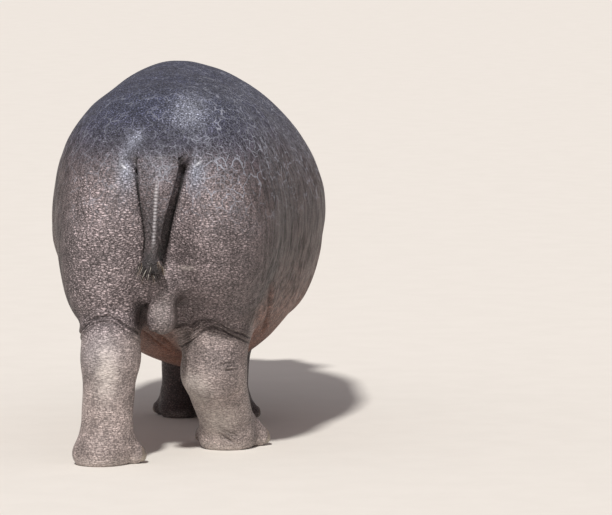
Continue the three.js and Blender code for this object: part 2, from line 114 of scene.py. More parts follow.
# ---- Head and lower jaw ------------------------------------------------------------------------------------
# A long skull under thick hide, nose down: brows set high, swollen cheeks, a square muzzle that holds the
# tusk roots, nostril mounds on top. The mouth is shut, so the heavy jaw is one mass with the rest.
HEAD_AT, HEAD_TURN = np.float32([0.80, 0, 0.975]), turned(pitch=22)
EYE, EYE_RADIUS = np.float32([0.288, 0.175, 0.175]), 0.023


def to_head(p):
    """Points in the head's own axes: ahead along the skull, left, up, from the back of the skull."""
    return (p - HEAD_AT) @ HEAD_TURN.T


def from_head(q):
    """Back from the head's axes."""
    return q @ HEAD_TURN + HEAD_AT


def head(q):
    """Cranium, bridge, angles of the jaw, cheeks, muzzle, tusk roots, nostril mounds, brows, lids, then
    the jaw, melted together in turn."""
    f = egg(q, (0.08, 0, 0.015), (0.28, 0.205, 0.190), 2.2)
    f = blend(f, egg(q, (0.42, 0, 0), (0.29, 0.148, 0.130), 2.6), 0.10)
    f = blend(f, pair(lambda r: egg(r, (0.13, 0.130, -0.14), (0.21, 0.110, 0.180), 2.2), q, 0.08), 0.09)
    f = blend(f, pair(lambda r: egg(r, (0.33, 0.120, -0.15), (0.21, 0.085, 0.105)), q, 0.08), 0.07)
    f = blend(f, egg(q, (0.66, 0, 0.005), (0.150, 0.215, 0.130), 3.0), 0.08)
    f = blend(f, pair(lambda r: egg(r, (0.655, 0.150, -0.045), (0.135, 0.092, 0.112), 2.3), q, 0.06), 0.05)
    f = blend(f, pair(lambda r: egg(r, (0.720, 0.084, 0.118), (0.080, 0.056, 0.050)), q, 0.05), 0.05)
    f = blend(f, pair(lambda r: egg(r, (0.275, 0.125, 0.158), (0.092, 0.064, 0.062)), q, 0.06), 0.07)
    f = blend(f, pair(lambda r: egg(r, EYE, (0.031, 0.026, 0.029)), q, 0.01), 0.018)
    jaw = egg(q, (0.49, 0, -0.200), (0.27, 0.170, 0.085), 2.6)
    jaw = blend(jaw, pair(lambda r: egg(r, (0.645, 0.118, -0.178), (0.110, 0.085, 0.085)), q, 0.06), 0.05)
    return blend(f, jaw, 0.03)


# ---- Ears --------------------------------------------------------------------------------------------------
# Small upright cups of gristle and hide, open forwards and a little outwards, that grow from the
# back of the skull on short stalks.
EAR, EAR_TURN = np.float32([0.005, 0.190, 0.175]), turned(-32, -14, 32)


def ear(q):
    """An egg with a smaller egg carved out of its front, on a tapered stalk."""
    outer = egg(q, EAR + np.float32([0, 0, 0.040]), (0.030, 0.050, 0.066), turn=EAR_TURN)
    hollow = egg(q, EAR + np.float32([0.028, 0.006, 0.046]), (0.022, 0.031, 0.044), turn=EAR_TURN)
    return blend(-blend(-outer, hollow, 0.012), bone(q, (0, 0.165, 0.11), EAR, 0.050, 0.034), 0.03)


# ---- Legs and feet -----------------------------------------------------------------------------------------
# Short pillars: broad thighs and shoulders, then shank and forearm, each on a foot of four spread toes in a
# fleshy pad. The right hind leg is half a step ahead of the left one.
TOES = ((-58, 0.118), (-19, 0.140), (19, 0.140), (58, 0.118))  # each toe's angle, and how far its tip reaches
# Each foot's x and y, its heading in degrees and its size.
FEET = {"hind_left": (-1.385, 0.240, -24, 0.98), "hind_right": (-0.805, -0.190, -8, 1.03),
        "fore_left": (0.25, 0.112, 4, 0.78), "fore_right": (0.12, -0.112, -4, 0.78)}


def to_foot(p, name):
    """Points in a foot's own axes, ahead along its middle, at the size of a full foot."""
    x, y, heading, size = FEET[name]
    return (p - np.float32([x, y, 0])) @ turned(yaw=heading).T / np.float32(size)


def foot(p, name):
    """A pad, with four stubby cones fanned out from it as toes."""
    q = to_foot(p, name)
    f = egg(q, (-0.005, 0, 0.045), (0.130, 0.112, 0.080), 2.4)
    for angle, reach in TOES:
        c, s = math.cos(math.radians(angle)), math.sin(math.radians(angle))
        f = blend(f, bone(q, (0.035 * c, 0.05 * s, 0.10), (reach * c, reach * s, 0.040), 0.058, 0.043), 0.022)
    return f * np.float32(FEET[name][3])


def hind_left(p):
    """Thigh of three masses; calf, hock and cannon down to the foot; a tight fold where the two meet."""
    thigh = egg(p, (-1.16, 0.205, 0.87), (0.36, 0.215, 0.30))
    thigh = blend(thigh, egg(p, (-1.25, 0.240, 0.735), (0.27, 0.168, 0.230), 2.2, 2.2), 0.08)
    thigh = blend(thigh, egg(p, (-0.98, 0.240, 0.74), (0.28, 0.160, 0.23)), 0.08)
    shank = bone(p, (-1.17, 0.225, 0.60), (-1.385, 0.212, 0.42), 0.128, 0.106, 0.95)
    shank = blend(shank, bone(p, (-1.362, 0.222, 0.58), (-1.395, 0.212, 0.42), 0.114, 0.107), 0.03)
    shank = blend(shank, bone(p, (-1.395, 0.212, 0.42), (-1.395, 0.230, 0.12), 0.104, 0.098), 0.04)
    return blend(thigh, blend(shank, foot(p, "hind_left"), 0.05), 0.018)


def hind_right(p):
    """The same leg, swung ahead."""
    thigh = egg(p, (-1.12, -0.195, 0.87), (0.36, 0.215, 0.30))
    thigh = blend(thigh, egg(p, (-1.035, -0.185, 0.705), (0.26, 0.158, 0.220), 2.2, 2.2), 0.08)
    thigh = blend(thigh, egg(p, (-0.88, -0.215, 0.73), (0.27, 0.160, 0.23)), 0.08)
    shank = bone(p, (-0.93, -0.180, 0.58), (-1.082, -0.160, 0.35), 0.149, 0.121, 0.92)
    shank = blend(shank, bone(p, (-1.07, -0.180, 0.56), (-1.082, -0.158, 0.35), 0.128, 0.122), 0.03)
    shank = blend(shank, bone(p, (-1.075, -0.158, 0.318), (-0.885, -0.190, 0.12), 0.116, 0.100, 1.05), 0.04)
    return blend(thigh, blend(shank, foot(p, "hind_right"), 0.05), 0.018)


def fore(p, side, name):
    """Shoulder, and the arm down through its elbow to the foot."""
    x = FEET[name][0]
    elbow, wrist = (x + 0.005, side * 0.104, 0.33), (x - 0.02, side * 0.104, 0.12)
    shoulder = egg(p, (0.44, side * 0.235, 0.72), (0.25, 0.20, 0.33))
    arm = bone(p, (0.40, side * 0.22, 0.60), elbow, 0.170, 0.094, 0.95)
    arm = blend(arm, bone(p, elbow, wrist, 0.088, 0.080), 0.04)
    return shoulder, blend(arm, foot(p, name), 0.05)


# ---- Tail --------------------------------------------------------------------------------------------------
# A flat wedge of gristle under hide that hangs from the croup against the rump. It is broad at the root and
# narrow above a blunt tip, which carries the bristles.
TAIL_TOP, TAIL_TIP = 1.24, 0.75
BEAD = 0.013  # from bead to bead of the ridge down its middle
TAIL_WAIST, ROOT_MORE, TIP_MORE = 0.036, 0.062, 0.010  # half widths: the least, and how much more at the ends


def tail_line(z):
    """Down the tail, t runs from 0 to 1. Gives t, the x of its middle (a sine that bows it back), the y of
    its middle, which drifts to the left, and its half width."""
    t = np.clip((TAIL_TOP - z) / (TAIL_TOP - TAIL_TIP), 0, 1)
    half = TAIL_WAIST + ROOT_MORE * (1 - ramp(t, 0, 0.85)) + TIP_MORE * ramp(t, 0.85, 0.93)
    return t, -1.474 - 0.082 * np.sin(1.95 * t**0.8), 0.006 + 0.022 * t + 0.012 * ramp(t, 0.7, 0.95), half


def tail(p):
    """Ellipses across, centred on the tail's line, with both ends rounded off."""
    t, back, middle, half = tail_line(p[:, 2])
    thick = 0.046 - 0.018 * t
    u, v = (p[:, 0] - back) / thick, (p[:, 1] - middle) / half
    g = np.sqrt(u * u + v * v) + 1e-6
    side = (g - 1) / (np.sqrt((u / g / thick) ** 2 + (v / g / half) ** 2) + 1e-6)
    return -blend(-side, np.minimum(TAIL_TOP - p[:, 2], p[:, 2] - TAIL_TIP + 0.004), 0.05)


# ---- Hide: its form ----------------------------------------------------------------------------------------
# One hide, 30 to 50 mm thick, hangs over all the flesh without a seam. It is worked out as a single surface
# over the masses, finer where it folds, and then the folds, lids, lips, slits and rolls are pressed into it.
MIDDLE = np.float32([-0.0040, 0.0109, 0])  # the masses' own origin is this far off the model's
PERINEUM = (((-1.385, 0.004, 0.690), (0.080, 0.058, 0.095), 0.07),  # two eggs between the legs: centre, radii
            ((-1.402, 0.012, 0.575), (0.084, 0.060, 0.070), 0.03))  # and how far each melts into the rest


def flesh(p):
    """Distance to all the masses together, cut off level at the ground."""
    p = p.astype(np.float32)
    q = to_head(p)
    f = blend(trunk(p), head(q), 0.10)
    f = blend(f, hind_left(p), 0.10)
    f = blend(f, hind_right(p), 0.10)
    for side, name in ((1, "fore_left"), (-1, "fore_right")):
        shoulder, arm = fore(p, side, name)
        f = blend(blend(f, shoulder, 0.14), arm, 0.002 + 0.058 * ramp(p[:, 2], 0.26, 0.40))
    for centre, radii, melt in PERINEUM:
        f = blend(f, egg(p, centre, radii), melt)
    f = blend(f, tail(p), 0.006 + 0.10 * np.clip((p[:, 2] - 1.12) / 0.08, 0, 1))
    f = blend(blend(f, ear(q), 0.02), ear(q * np.float32([1, -1, 1])), 0.02)
    return np.maximum(f, -p[:, 2])


def slope(field, p, reach=0.002):
    """Gradient of a field by central differences."""
    return np.stack([(field(p + d) - field(p - d)) / (2 * reach) for d in reach * np.eye(3)], 1)


def settled(field, p, passes=2):
    """Newton's steps: each moves p down the gradient by field / gradient squared, at most 10 mm."""
    for _ in range(passes):
        g = slope(field, p)
        p = p - np.clip(field(p) / np.maximum((g * g).sum(1), 0.05), -0.01, 0.01)[:, None] * g
    return p


def steps(*stretches):
    """Grid lines from (start, end, spacing) stretches laid end to end."""
    lines = [np.linspace(a, b, max(2, round((b - a) / s) + 1))[:-1] for a, b, s in stretches]
    return np.append(np.concatenate(lines), stretches[-1][1])


def surface(field, axes, coarse=4, reach=0.095, parcel=200000):
    """Four-sided facets of field = 0 on a grid with the given lines. The field is first worked out on every
    fourth line and read between them, then truly within reach of the surface, one parcel at a time."""
    rough = [np.append(a[::coarse], a[-1]) if (len(a) - 1) % coarse else a[::coarse] for a in axes]
    value = field(np.stack(np.meshgrid(*rough, indexing="ij"), -1).reshape(-1, 3))
    value = value.reshape([len(a) for a in rough])
    for n in range(3):
        spot = np.interp(axes[n], rough[n], np.arange(len(rough[n])))
        low = np.minimum(spot.astype(int), len(rough[n]) - 2)
        share = (spot - low).reshape([-1 if m == n else 1 for m in range(3)])
        value = np.take(value, low, n) * (1 - share) + np.take(value, low + 1, n) * share
    close = np.argwhere(np.abs(value) < reach)
    spots = np.stack([axes[n][close[:, n]] for n in range(3)], 1)
    value = value.astype(np.float32)
    parts = np.array_split(spots, len(spots) // parcel + 1)
    value[tuple(close.T)] = np.concatenate([field(part) for part in parts])
    grid = openvdb.FloatGrid(1.0)
    grid.copyFromArray(np.ascontiguousarray(value))
    points, quads = grid.convertToQuads(0.0)
    points = np.stack([np.interp(points[:, n], np.arange(len(axes[n])), axes[n]) for n in range(3)], 1)
    return points, quads.astype(np.int64)


def divided(points, quads, tris, where):
    """Splits every edge whose middle is in `where`. A facet of four split edges becomes four; any other
    facet that is touched becomes a fan of triangles about its middle, so no gap opens."""
    ends = np.concatenate([np.stack([f, np.roll(f, -1, 1)], -1).reshape(-1, 2) for f in (quads, tris)])
    low, high = ends.min(1), ends.max(1)
    key, edge = np.unique(low * len(points) + high, return_inverse=True)
    middle = points[np.stack([key // len(points), key % len(points)], 1)].mean(1)
    cut = where(middle)
    number = np.where(cut, len(points) + np.cumsum(cut) - 1, -1)[edge]
    halves = number[: quads.size].reshape(quads.shape), number[quads.size:].reshape(tris.shape)
    count = len(points) + cut.sum()
    fresh, new_quads, new_tris = [middle[cut]], [], []
    for faces, half in zip((quads, tris), halves):
        touched, whole = (half >= 0).any(1), (half >= 0).all(1) & (faces.shape[1] == 4)
        (new_quads if faces.shape[1] == 4 else new_tris).append(faces[~touched])
        hub = np.full(len(faces), -1)
        hub[touched] = count + np.arange(touched.sum())
        count += touched.sum()
        fresh.append(points[faces[touched]].mean(1))
        for k in range(faces.shape[1]):
            corner, ahead, mid = faces[:, k], faces[:, (k + 1) % faces.shape[1]], half[:, k]
            before = half[:, k - 1]
            new_quads.append(np.stack([corner, mid, hub, before], 1)[whole])
            fan, plain = touched & ~whole & (mid >= 0), touched & ~whole & (mid < 0)
            new_tris += [np.stack([corner, mid, hub], 1)[fan], np.stack([mid, ahead, hub], 1)[fan],
                         np.stack([corner, ahead, hub], 1)[plain]]
    return np.concatenate([points, *fresh]), np.concatenate(new_quads), np.concatenate(new_tris)


def near(p, centre, radius):
    """True within a ball."""
    return ((p - np.float32(centre)) ** 2).sum(1) < radius**2


def mirrored(q):
    """Head points with the right side laid over the left."""
    return q * np.float32([1, 0, 1]) + np.abs(q) * np.float32([0, 1, 0])


# Places of the folds. A collar is a fold round a leg: the x and y of the leg, then its height by the angle
# about the leg, 0 straight behind and 90 on the animal's left.
COLLARS = {
    "left_first": ((-1.37, 0.215), (-150, -110, -62, -37, -20, 0, 27, 47, 75, 110, 150),
                   (0.492, 0.49, 0.522, 0.544, 0.570, 0.584, 0.572, 0.542, 0.505, 0.488, 0.49)),
    "left_second": ((-1.37, 0.215), (-150, -110, -70, -40, -15, 20, 60, 110, 150),
                    (0.455, 0.455, 0.482, 0.516, 0.556, 0.556, 0.50, 0.455, 0.455)),
    "right_first": ((-1.10, -0.165), (-150, -85, -62, -37, -15, 0, 23, 43, 57, 90, 150),
                    (0.45, 0.470, 0.488, 0.503, 0.533, 0.549, 0.542, 0.522, 0.526, 0.50, 0.47)),
    "right_second": ((-1.10, -0.165), (-150, -80, -45, -21, 0, 17, 34, 52, 90, 150),
                     (0.42, 0.455, 0.481, 0.508, 0.519, 0.508, 0.482, 0.459, 0.43, 0.42)),
}
MOUTH = ((0.24, 0.33, 0.48, 0.64, 0.80, 0.95), (-0.060, -0.082, -0.118, -0.138, -0.118, -0.128))


def collar(p, name):
    """Height above the fold, and the angle about the leg in degrees."""
    (x, y), angles, heights = COLLARS[name]
    angle = np.degrees(np.arctan2(p[:, 1] - y, -(p[:, 0] - x)))
    return p[:, 2] - np.interp(angle, angles, heights, period=360), angle


def groove(d, width, depth, roll=0.0, above=0.012):
    """A crease across a distance d: minus depth times a bell `width` wide, and a roll of flesh over it."""
    return -depth * np.exp(-((d / width) ** 2)) + roll * np.exp(-(((d - above) / above) ** 2))


def along_path(p, path, outward=None):
    """Distance from p to a line through a few points, and how far along it (0 to 1) the nearest place is.
    Given the hide's outward directions, the distance is below 0 on one side of the line."""
    path = np.float32(path)
    best, place, sign = np.full(len(p), 9.0), np.zeros(len(p)), np.ones(len(p))
    for n, (a, b) in enumerate(zip(path[:-1], path[1:])):
        t = np.clip((p - a) @ (b - a) / ((b - a) @ (b - a)), 0, 1)
        off = p - a - t[:, None] * (b - a)
        d = np.linalg.norm(off, axis=1)
        place = np.where(d < best, (n + t) / (len(path) - 1), place)
        if outward is not None:
            sign = np.where(d < best, np.sign((np.cross(b - a, off) * outward).sum(1) + 1e-12), sign)
        best = np.minimum(best, d)
    return best * sign, place


# The eye looks outwards, a little ahead and up. These are its axes in the head: out,
# along the slit of the lids, and up.
LOOK = np.float32([0.30, 0.90, 0.30]) / np.linalg.norm([0.30, 0.90, 0.30])
SLIT = np.float32([1, 0, -0.10]) - LOOK * (LOOK @ np.float32([1, 0, -0.10]))
SLIT = SLIT / np.linalg.norm(SLIT)
LID_UP = np.cross(SLIT, LOOK)
NOSTRIL = np.float32([0.742, 0.090, 0.160])
# Each crease is a path, how wide and how deep: outside the right shank, over its
# ankle, slanting across the belly.
CREASES = (
    (((-1.21, -0.195, 0.372), (-1.18, -0.275, 0.383)), 0.0055, 0.008),
    (((-1.20, -0.21, 0.346), (-1.17, -0.275, 0.350)), 0.005, 0.007),
    (((-1.15, -0.15, 0.235), (-1.16, -0.20, 0.27), (-1.165, -0.245, 0.315)), 0.010, 0.005),
    (((-1.03, -0.12, 0.115), (-0.985, -0.18, 0.065), (-0.93, -0.245, 0.022)), 0.006, 0.007),
    (((-1.03, -0.15, 0.140), (-0.965, -0.22, 0.082), (-0.88, -0.265, 0.040)), 0.006, 0.006),
    (((-1.04, -0.10, 0.085), (-1.00, -0.15, 0.045), (-0.95, -0.21, 0.012)), 0.006, 0.006),
    (((-1.10, 0.10, 0.53), (-1.00, 0.03, 0.45), (-0.92, -0.05, 0.40)), 0.014, 0.010),
    (((-1.10, 0.04, 0.53), (-1.00, -0.03, 0.45), (-0.92, -0.10, 0.41)), 0.010, 0.007),
    (((-1.08, 0.15, 0.52), (-0.98, 0.09, 0.44), (-0.90, 0.02, 0.39)), 0.010, 0.006))
FLANK_FOLD = {
    "right": ((-1.12, -0.383, 0.69), (-1.01, -0.37, 0.614), (-0.774, -0.325, 0.504), (-0.629, -0.292, 0.435)),
    "left": ((-1.17, 0.40, 0.74), (-1.02, 0.41, 0.64), (-0.86, 0.37, 0.55), (-0.72, 0.31, 0.47)),
}
GROIN = {
    "left": ((-1.335, 0.098, 0.585), (-1.38, 0.083, 0.64), (-1.425, 0.057, 0.70), (-1.45, 0.04, 0.76)),
    "right": ((-1.30, -0.080, 0.585), (-1.40, -0.076, 0.64), (-1.445, -0.050, 0.70), (-1.46, -0.03, 0.76)),
}


def crease(mark, d, strength, which):
    """Notes a fold's signed distance, up to 0.1 m, where it is the stronger one: strength times e^(-distance
    / 30 mm) is more than what is there."""
    strength = strength * np.exp(-np.abs(d) / 0.03)
    better = strength > mark["folded_" + which]
    mark["crease_" + which] = np.where(better, np.clip(d, -0.1, 0.1), mark["crease_" + which])
    mark["folded_" + which] = np.where(better, strength, mark["folded_" + which])


def press_knees(p, out, mark):
    """Two collars on each hind leg, deep behind and soft in front, with fine
    wrinkles above them on the inside."""
    x, y, z = p.T
    for leg, side, second_depth in (("left", 1, 0.005), ("right", -1, 0.010)):
        (cx, cy), _, _ = COLLARS[leg + "_first"]
        here = ramp(-np.hypot(x - cx, (y - cy) * 1.15), -0.26, -0.20) * ramp(side * y, -0.02, 0.03)
        for which, name, depth in (("a", leg + "_first", 0.014), ("b", leg + "_second", second_depth)):
            d, angle = collar(p, name)
            behind = 0.25 + 0.75 * ramp(-np.abs(angle), -130, -70)
            out += here * behind * groove(d, 0.0055, 0.65 * depth, 0.0055, 0.016)
            crease(mark, d, here * behind * min(1, (depth / 0.010) ** 2), which)
            inner = ramp(-side * angle, -60, 40)
            wave = 0.006 * np.sin(3 * np.radians(angle))
            for higher in (0.021, 0.037, 0.052):
                out += here * behind * inner * groove(d - higher - wave, 0.004, 0.0026)


def press_creases(p, n, out, mark):
    """Short creases of the shank, ankle and belly, the folds of the flanks, and
    the groins: grooves along paths, with painted shade in the groins."""
    for way, wide, depth in CREASES:
        d, t = along_path(p, way, n)
        fade = np.sqrt(np.clip(4 * t * (1 - t), 0, 1))
        out += groove(d, wide, depth * fade, 0.35 * depth * fade, 2 * wide)
        crease(mark, d, 0.5 * fade * (wide < 0.009), "b")
    for leg in ("left", "right"):
        d, t = along_path(p, FLANK_FOLD[leg], n)
        fade = np.sqrt(np.clip(4 * t * (1 - t), 0, 1))
        out += groove(d, 0.013, 0.013 * fade, 0.006 * fade, 0.028)
        crease(mark, d, 0.35 * fade, "b")
        d, t = along_path(p, GROIN[leg])
        out += groove(d, 0.010, 0.010 * (1 - 0.9 * t))
        # Painted shade in the groin.
        mark["hollow"] += 0.7 * np.exp(-((d / 0.010) ** 2)) * (1 - t)


def press_neck(p, out):
    """Four soft folds round the neck, deepest under the throat, wandering by a sine of height and width."""
    x, y, z = p.T
    for start, depth in ((0.60, 0.006), (0.69, 0.010), (0.765, 0.011), (0.83, 0.007)):
        d = x - start - 0.20 * (z - 0.80) - 0.014 * np.sin(11 * z + 7 * np.abs(y) + 20 * start)
        ring = ramp(-z, -1.02, -0.72) * ramp(z, 0.42, 0.52) * (0.6 + 0.4 * np.sin(9 * np.abs(y) + 31 * start))
        out += ring * groove(d, 0.014, depth, 0.5 * depth, 0.028)


def press_mouth(q, out, mark):
    """The upper lip laps over the lower one, from the corner of the mouth round the front."""
    d = q[:, 2] - np.interp(q[:, 0], *MOUTH)
    lip = ramp(q[:, 0], 0.27, 0.36) * ramp(q[:, 1], -0.01, 0.0) * ramp(q[:, 0], 0.20, 0.25)
    out += lip * groove(d, 0.008, 0.016, 0.006, 0.020)
    crease(mark, d, lip, "a")


def press_lids(q, out):
    """The lids lie 3.2 mm over the eyeball. Inside their slit, an oval bent downwards, the hide dips behind
    the ball. Uneven rings of crease run round them."""
    e = q - EYE
    a, b, c = e @ LOOK, e @ SLIT, e @ LID_UP
    slit = np.hypot(b / 0.0215, (c + 6 * b * b) / np.where(c > 0, 0.0145, 0.0115))
    facing = ramp(a, -0.004, 0.006)
    round_eye = np.hypot(b / 1.15, c)
    ball = np.sqrt(np.clip(EYE_RADIUS**2 - b * b - c * c, 0, None))
    shell = np.sqrt(np.clip((EYE_RADIUS + 0.0032) ** 2 - (b / 1.12) ** 2 - c * c, 0, None))
    lid = facing * (1 - ramp(round_eye, 0.019, 0.030))
    out += lid * (shell - a)
    out += facing * (1 - ramp(slit, 0.94, 1.09)) * np.minimum(ball - 0.004 - a - lid * (shell - a), 0)
    out += facing * 0.0016 * np.exp(-(((slit - 1.22) / 0.12) ** 2))
    angle = np.arctan2(c, b)
    for ring, depth, phase in ((0.0285, 0.0026, 0.4), (0.038, 0.0026, 1.9), (0.051, 0.0022, 3.4)):
        uneven = 0.55 + 0.45 * np.sin(1.5 * angle + phase) * np.sin(2.3 * angle + 2 * phase)
        wobble = ring * (1 + 0.06 * np.sin(3 * angle + 3 * phase))
        out += ramp(a, -0.03, -0.01) * -depth * uneven * np.exp(-(((round_eye - wobble) / 0.0030) ** 2))


def press_nostrils(q, out, mark):
    """A slit bent as a parabola on each mound, 22 mm deep, with a raised rim and painted shade inside."""
    e = q - NOSTRIL
    lengthways, across = e @ np.float32([0.83, -0.50, -0.25]), e @ np.float32([0.45, 0.86, -0.20])
    across = across - 9 * lengthways**2
    hole = np.hypot(lengthways / 0.027, across / 0.0085)
    upper = ramp(q[:, 2], 0.10, 0.13)
    out += upper * (-0.022 * (1 - ramp(hole, 0.55, 1.15)) + 0.004 * np.exp(-(((hole - 1.7) / 0.5) ** 2)))
    # Painted shade inside the nostril.
    mark["hollow"] += upper * (1 - ramp(hole, 0.75, 1.15))


def press_tail(p, out, mark):
    """Slits down both sides of the tail and notches at its upper corners, with painted shade in both, a ridge
    of beads every 13 mm down its middle, and a slanting twist above the tip."""
    x, y, z = p.T
    t, back, middle, half = tail_line(z)
    off = y - middle
    rear = ramp(-x, 1.38, 1.42)
    low_tail = ramp(-z, -1.205, -1.185) * ramp(z, 0.79, 0.84) * rear
    for side, wide, depth in ((1, 0.0065, 0.010), (-1, 0.010, 0.016)):
        d = side * off - half * 0.985
        out += low_tail * -depth * np.exp(-((d / wide) ** 2)) * ramp(side * off, 0, 0.01)
        # Painted shade in the slit.
        mark["hollow"] += low_tail * np.exp(-((d / (0.7 * wide)) ** 2)) * ramp(side * off, 0, 0.01)
        corner = ((-1.525, 0.012 + side * 0.086, 1.196), (-1.515, 0.006 + side * 0.096, 1.207),
                  (-1.495, side * (0.118 - 0.004 * side), 1.213))
        d, along = along_path(p, corner)
        out += -1.1 * depth * (1 - 0.6 * along) * np.exp(-((d / 0.0065) ** 2))
        # Painted shade in the notch.
        mark["hollow"] += (1 - 0.8 * along) * np.exp(-((d / 0.006) ** 2))
    on_tail = rear * ramp(half - np.abs(off), 0.0, 0.012) * ramp(z, 0.745, 0.76)
    ridge = ramp(t, 0.22, 0.34) * ramp(-t, -0.80, -0.70)
    beads = 1 + 0.35 * np.sin(z * 2 * np.pi / BEAD)
    out += on_tail * ridge * 0.0045 * np.exp(-((off / 0.007) ** 2)) * beads
    out += on_tail * -0.004 * ramp(t, 0.3, 0.5) * np.exp(-(((np.abs(off) - 0.022) / 0.012) ** 2))
    twist = z - 0.905 - 1.35 * (off + 0.004)
    out += on_tail * ramp(-np.abs(z - 0.90), -0.07, -0.035) * groove(twist, 0.008, 0.010, 0.006, 0.014)
    mark["ridge"] = on_tail * ridge * np.exp(-((off / 0.006) ** 2))
    mark["on_tail"] = on_tail


def pressed(p, n):
    """How far each point of the hide moves out along its normal n, as the sum of all the folds, with the
    marks they leave. The skin of the rump and barrel is never quite smooth: slow sines swell it by 2 mm."""
    q = mirrored(to_head(p))
    out = np.zeros(len(p))
    # The crease marks place painted shade along the folds, and the hollow mark painted shade in the slits,
    # groins and nostrils.
    mark = {"crease_a": np.full(len(p), 0.1), "crease_b": np.full(len(p), 0.1), "folded_a": np.zeros(len(p)),
            "folded_b": np.zeros(len(p)), "hollow": np.zeros(len(p))}
    press_knees(p, out, mark)
    press_creases(p, n, out, mark)
    press_neck(p, out)
    press_mouth(q, out, mark)
    press_lids(q, out)
    press_nostrils(q, out, mark)
    press_tail(p, out, mark)
    x, y, z = p.T
    waves = np.sin(17 * x + 3 * np.sin(11 * z)) * np.sin(19 * y + 2 * np.sin(13 * x))
    waves *= np.sin(15 * z + 2 * np.sin(9 * y))
    out += 0.0022 * waves * ramp(z, 0.15, 0.3)
    return out, mark


def fine_places(level):
    """Which edges of the hide are split at each level: 1 takes in every fold, 2 the crisp ones, 3 only the
    lids, nostrils and the tail's slits. Each is a band of the fold's distance or a ball."""
    def where(p):
        q = mirrored(to_head(p.astype(np.float32)))
        x, y, z = p.T
        t, back, middle, half = tail_line(z)
        tail_side = np.abs(np.abs(y - middle) - half)
        eye = near(q, EYE, (0, 0.060, 0.034)[level - 1])
        nostril = near(q, NOSTRIL, (0, 0.05, 0.036)[level - 1])
        if level == 3:
            slits = (x < -1.40) & (tail_side < 0.009) & (z > 0.78) & (z < 1.215)
            return slits | eye | nostril
        folds = np.zeros(len(p), bool)
        for name in COLLARS:
            d, angle = collar(p, name)
            (cx, cy), _, _ = COLLARS[name]
            band = np.abs(d - 0.012) < (0.052, 0.026)[level - 1]
            folds |= band & (np.abs(angle) < 110) & (np.hypot(x - cx, y - cy) < 0.24)
        for way, wide, depth in CREASES:
            folds |= along_path(p, way)[0] < (0.035, 0.012)[level - 1]
        mouth = np.abs(q[:, 2] - np.interp(q[:, 0], *MOUTH)) < (0.045, 0.016)[level - 1]
        folds |= mouth & (q[:, 0] > 0.26)
        if level == 2:
            tail_zone = (x < -1.38) & (tail_side < 0.03) & (z > 0.73) & (z < 1.23)
            ridge = (x < -1.5) & (np.abs(y - middle) < 0.05) & (z > 0.73) & (z < 1.15)
            ear_cup = near(q, EAR + np.float32([0.01, 0, 0.05]), 0.07)
            return folds | tail_zone | ridge | eye | nostril | ear_cup
        for way in FLANK_FOLD.values():
            folds |= along_path(p, way)[0] < 0.040
        face = (q[:, 0] > 0.15) & (q[:, 2] > 0.02)
        rump = (x < -1.36) & (np.abs(y) < 0.2) & (z > 0.70)
        groin = (x < -1.25) & (np.abs(y) < 0.13) & (z < 0.80) & (z > 0.5)
        return folds | (z < 0.10) | face | rump | groin | near(q, EAR + np.float32([0, 0, 0.04]), 0.12)
    return where


axes = [steps((-1.72, -1.32, 0.017), (-1.32, 0.72, 0.026), (0.72, 1.76, 0.0185)),
        steps((-0.66, -0.26, 0.023), (-0.26, 0.26, 0.0175), (0.26, 0.66, 0.023)),
        steps((-0.04, 0.14, 0.016), (0.14, 1.60, 0.021))]
points, quads = surface(flesh, axes)
points = settled(flesh, points)
tris = np.zeros((0, 3), np.int64)
for level in (1, 2, 3):
    old = len(points)
    points, quads, tris = divided(points, quads, tris, fine_places(level))
    points[old:] = settled(flesh, points[old:])
normals = slope(flesh, points)
normals /= np.linalg.norm(normals, axis=1)[:, None]
push, marks = pressed(points.astype(np.float32), normals.astype(np.float32))
shape = points.copy()
points = points + push[:, None] * normals
points[:, 2] = np.maximum(points[:, 2], 0)


def mesh_piece(name, points, faces, marks=None):
    """A smooth-shaded object at the origin from points and lists of facets, with one attribute for each
    mark."""
    mesh = bpy.data.meshes.new(name)
    mesh.from_pydata(points.tolist(), [], faces)
    mesh.polygons.foreach_set("use_smooth", [True] * len(mesh.polygons))
    for label, values in (marks or {}).items():
        mesh.attributes.new(label, "FLOAT", "POINT").data.foreach_set("value", values.astype(np.float32))
    mesh.update()
    piece = bpy.data.objects.new(name, mesh)
    bpy.context.scene.collection.objects.link(piece)
    return piece


# Where the hide's colour and grain change: weights from 0 to 1, smooth over the body.
x, y, z = shape.T
q = mirrored(to_head(shape.astype(np.float32)))
up, sideways, behind = normals[:, 2], np.abs(normals[:, 1]), -normals[:, 0]


def patches(*spots):
    """Soft spots, each a share of a bell of the distance from its centre over three radii, added up."""
    return sum(share * np.exp(-(((shape - np.array(centre)) / np.array(radii)) ** 2).sum(1))
               for share, centre, radii in spots)


# The back: faces turned up, high on the body, where slate grey with a painted bluish reflection of the sky
# goes.
marks["back"] = ramp(z, 1.00, 1.42) * ramp(up, -0.1, 0.7)
marks["crackled"] = (ramp(z, 0.75, 1.15) * (0.40 + 0.60 * ramp(-y, -0.1, 0.3)) * ramp(up, -0.25, 0.30)
                     * ramp(-x, -0.7, 0))
marks["face"] = np.maximum(0.45 * ramp(x, -0.95, -0.2), ramp(x, 0.5, 0.9))
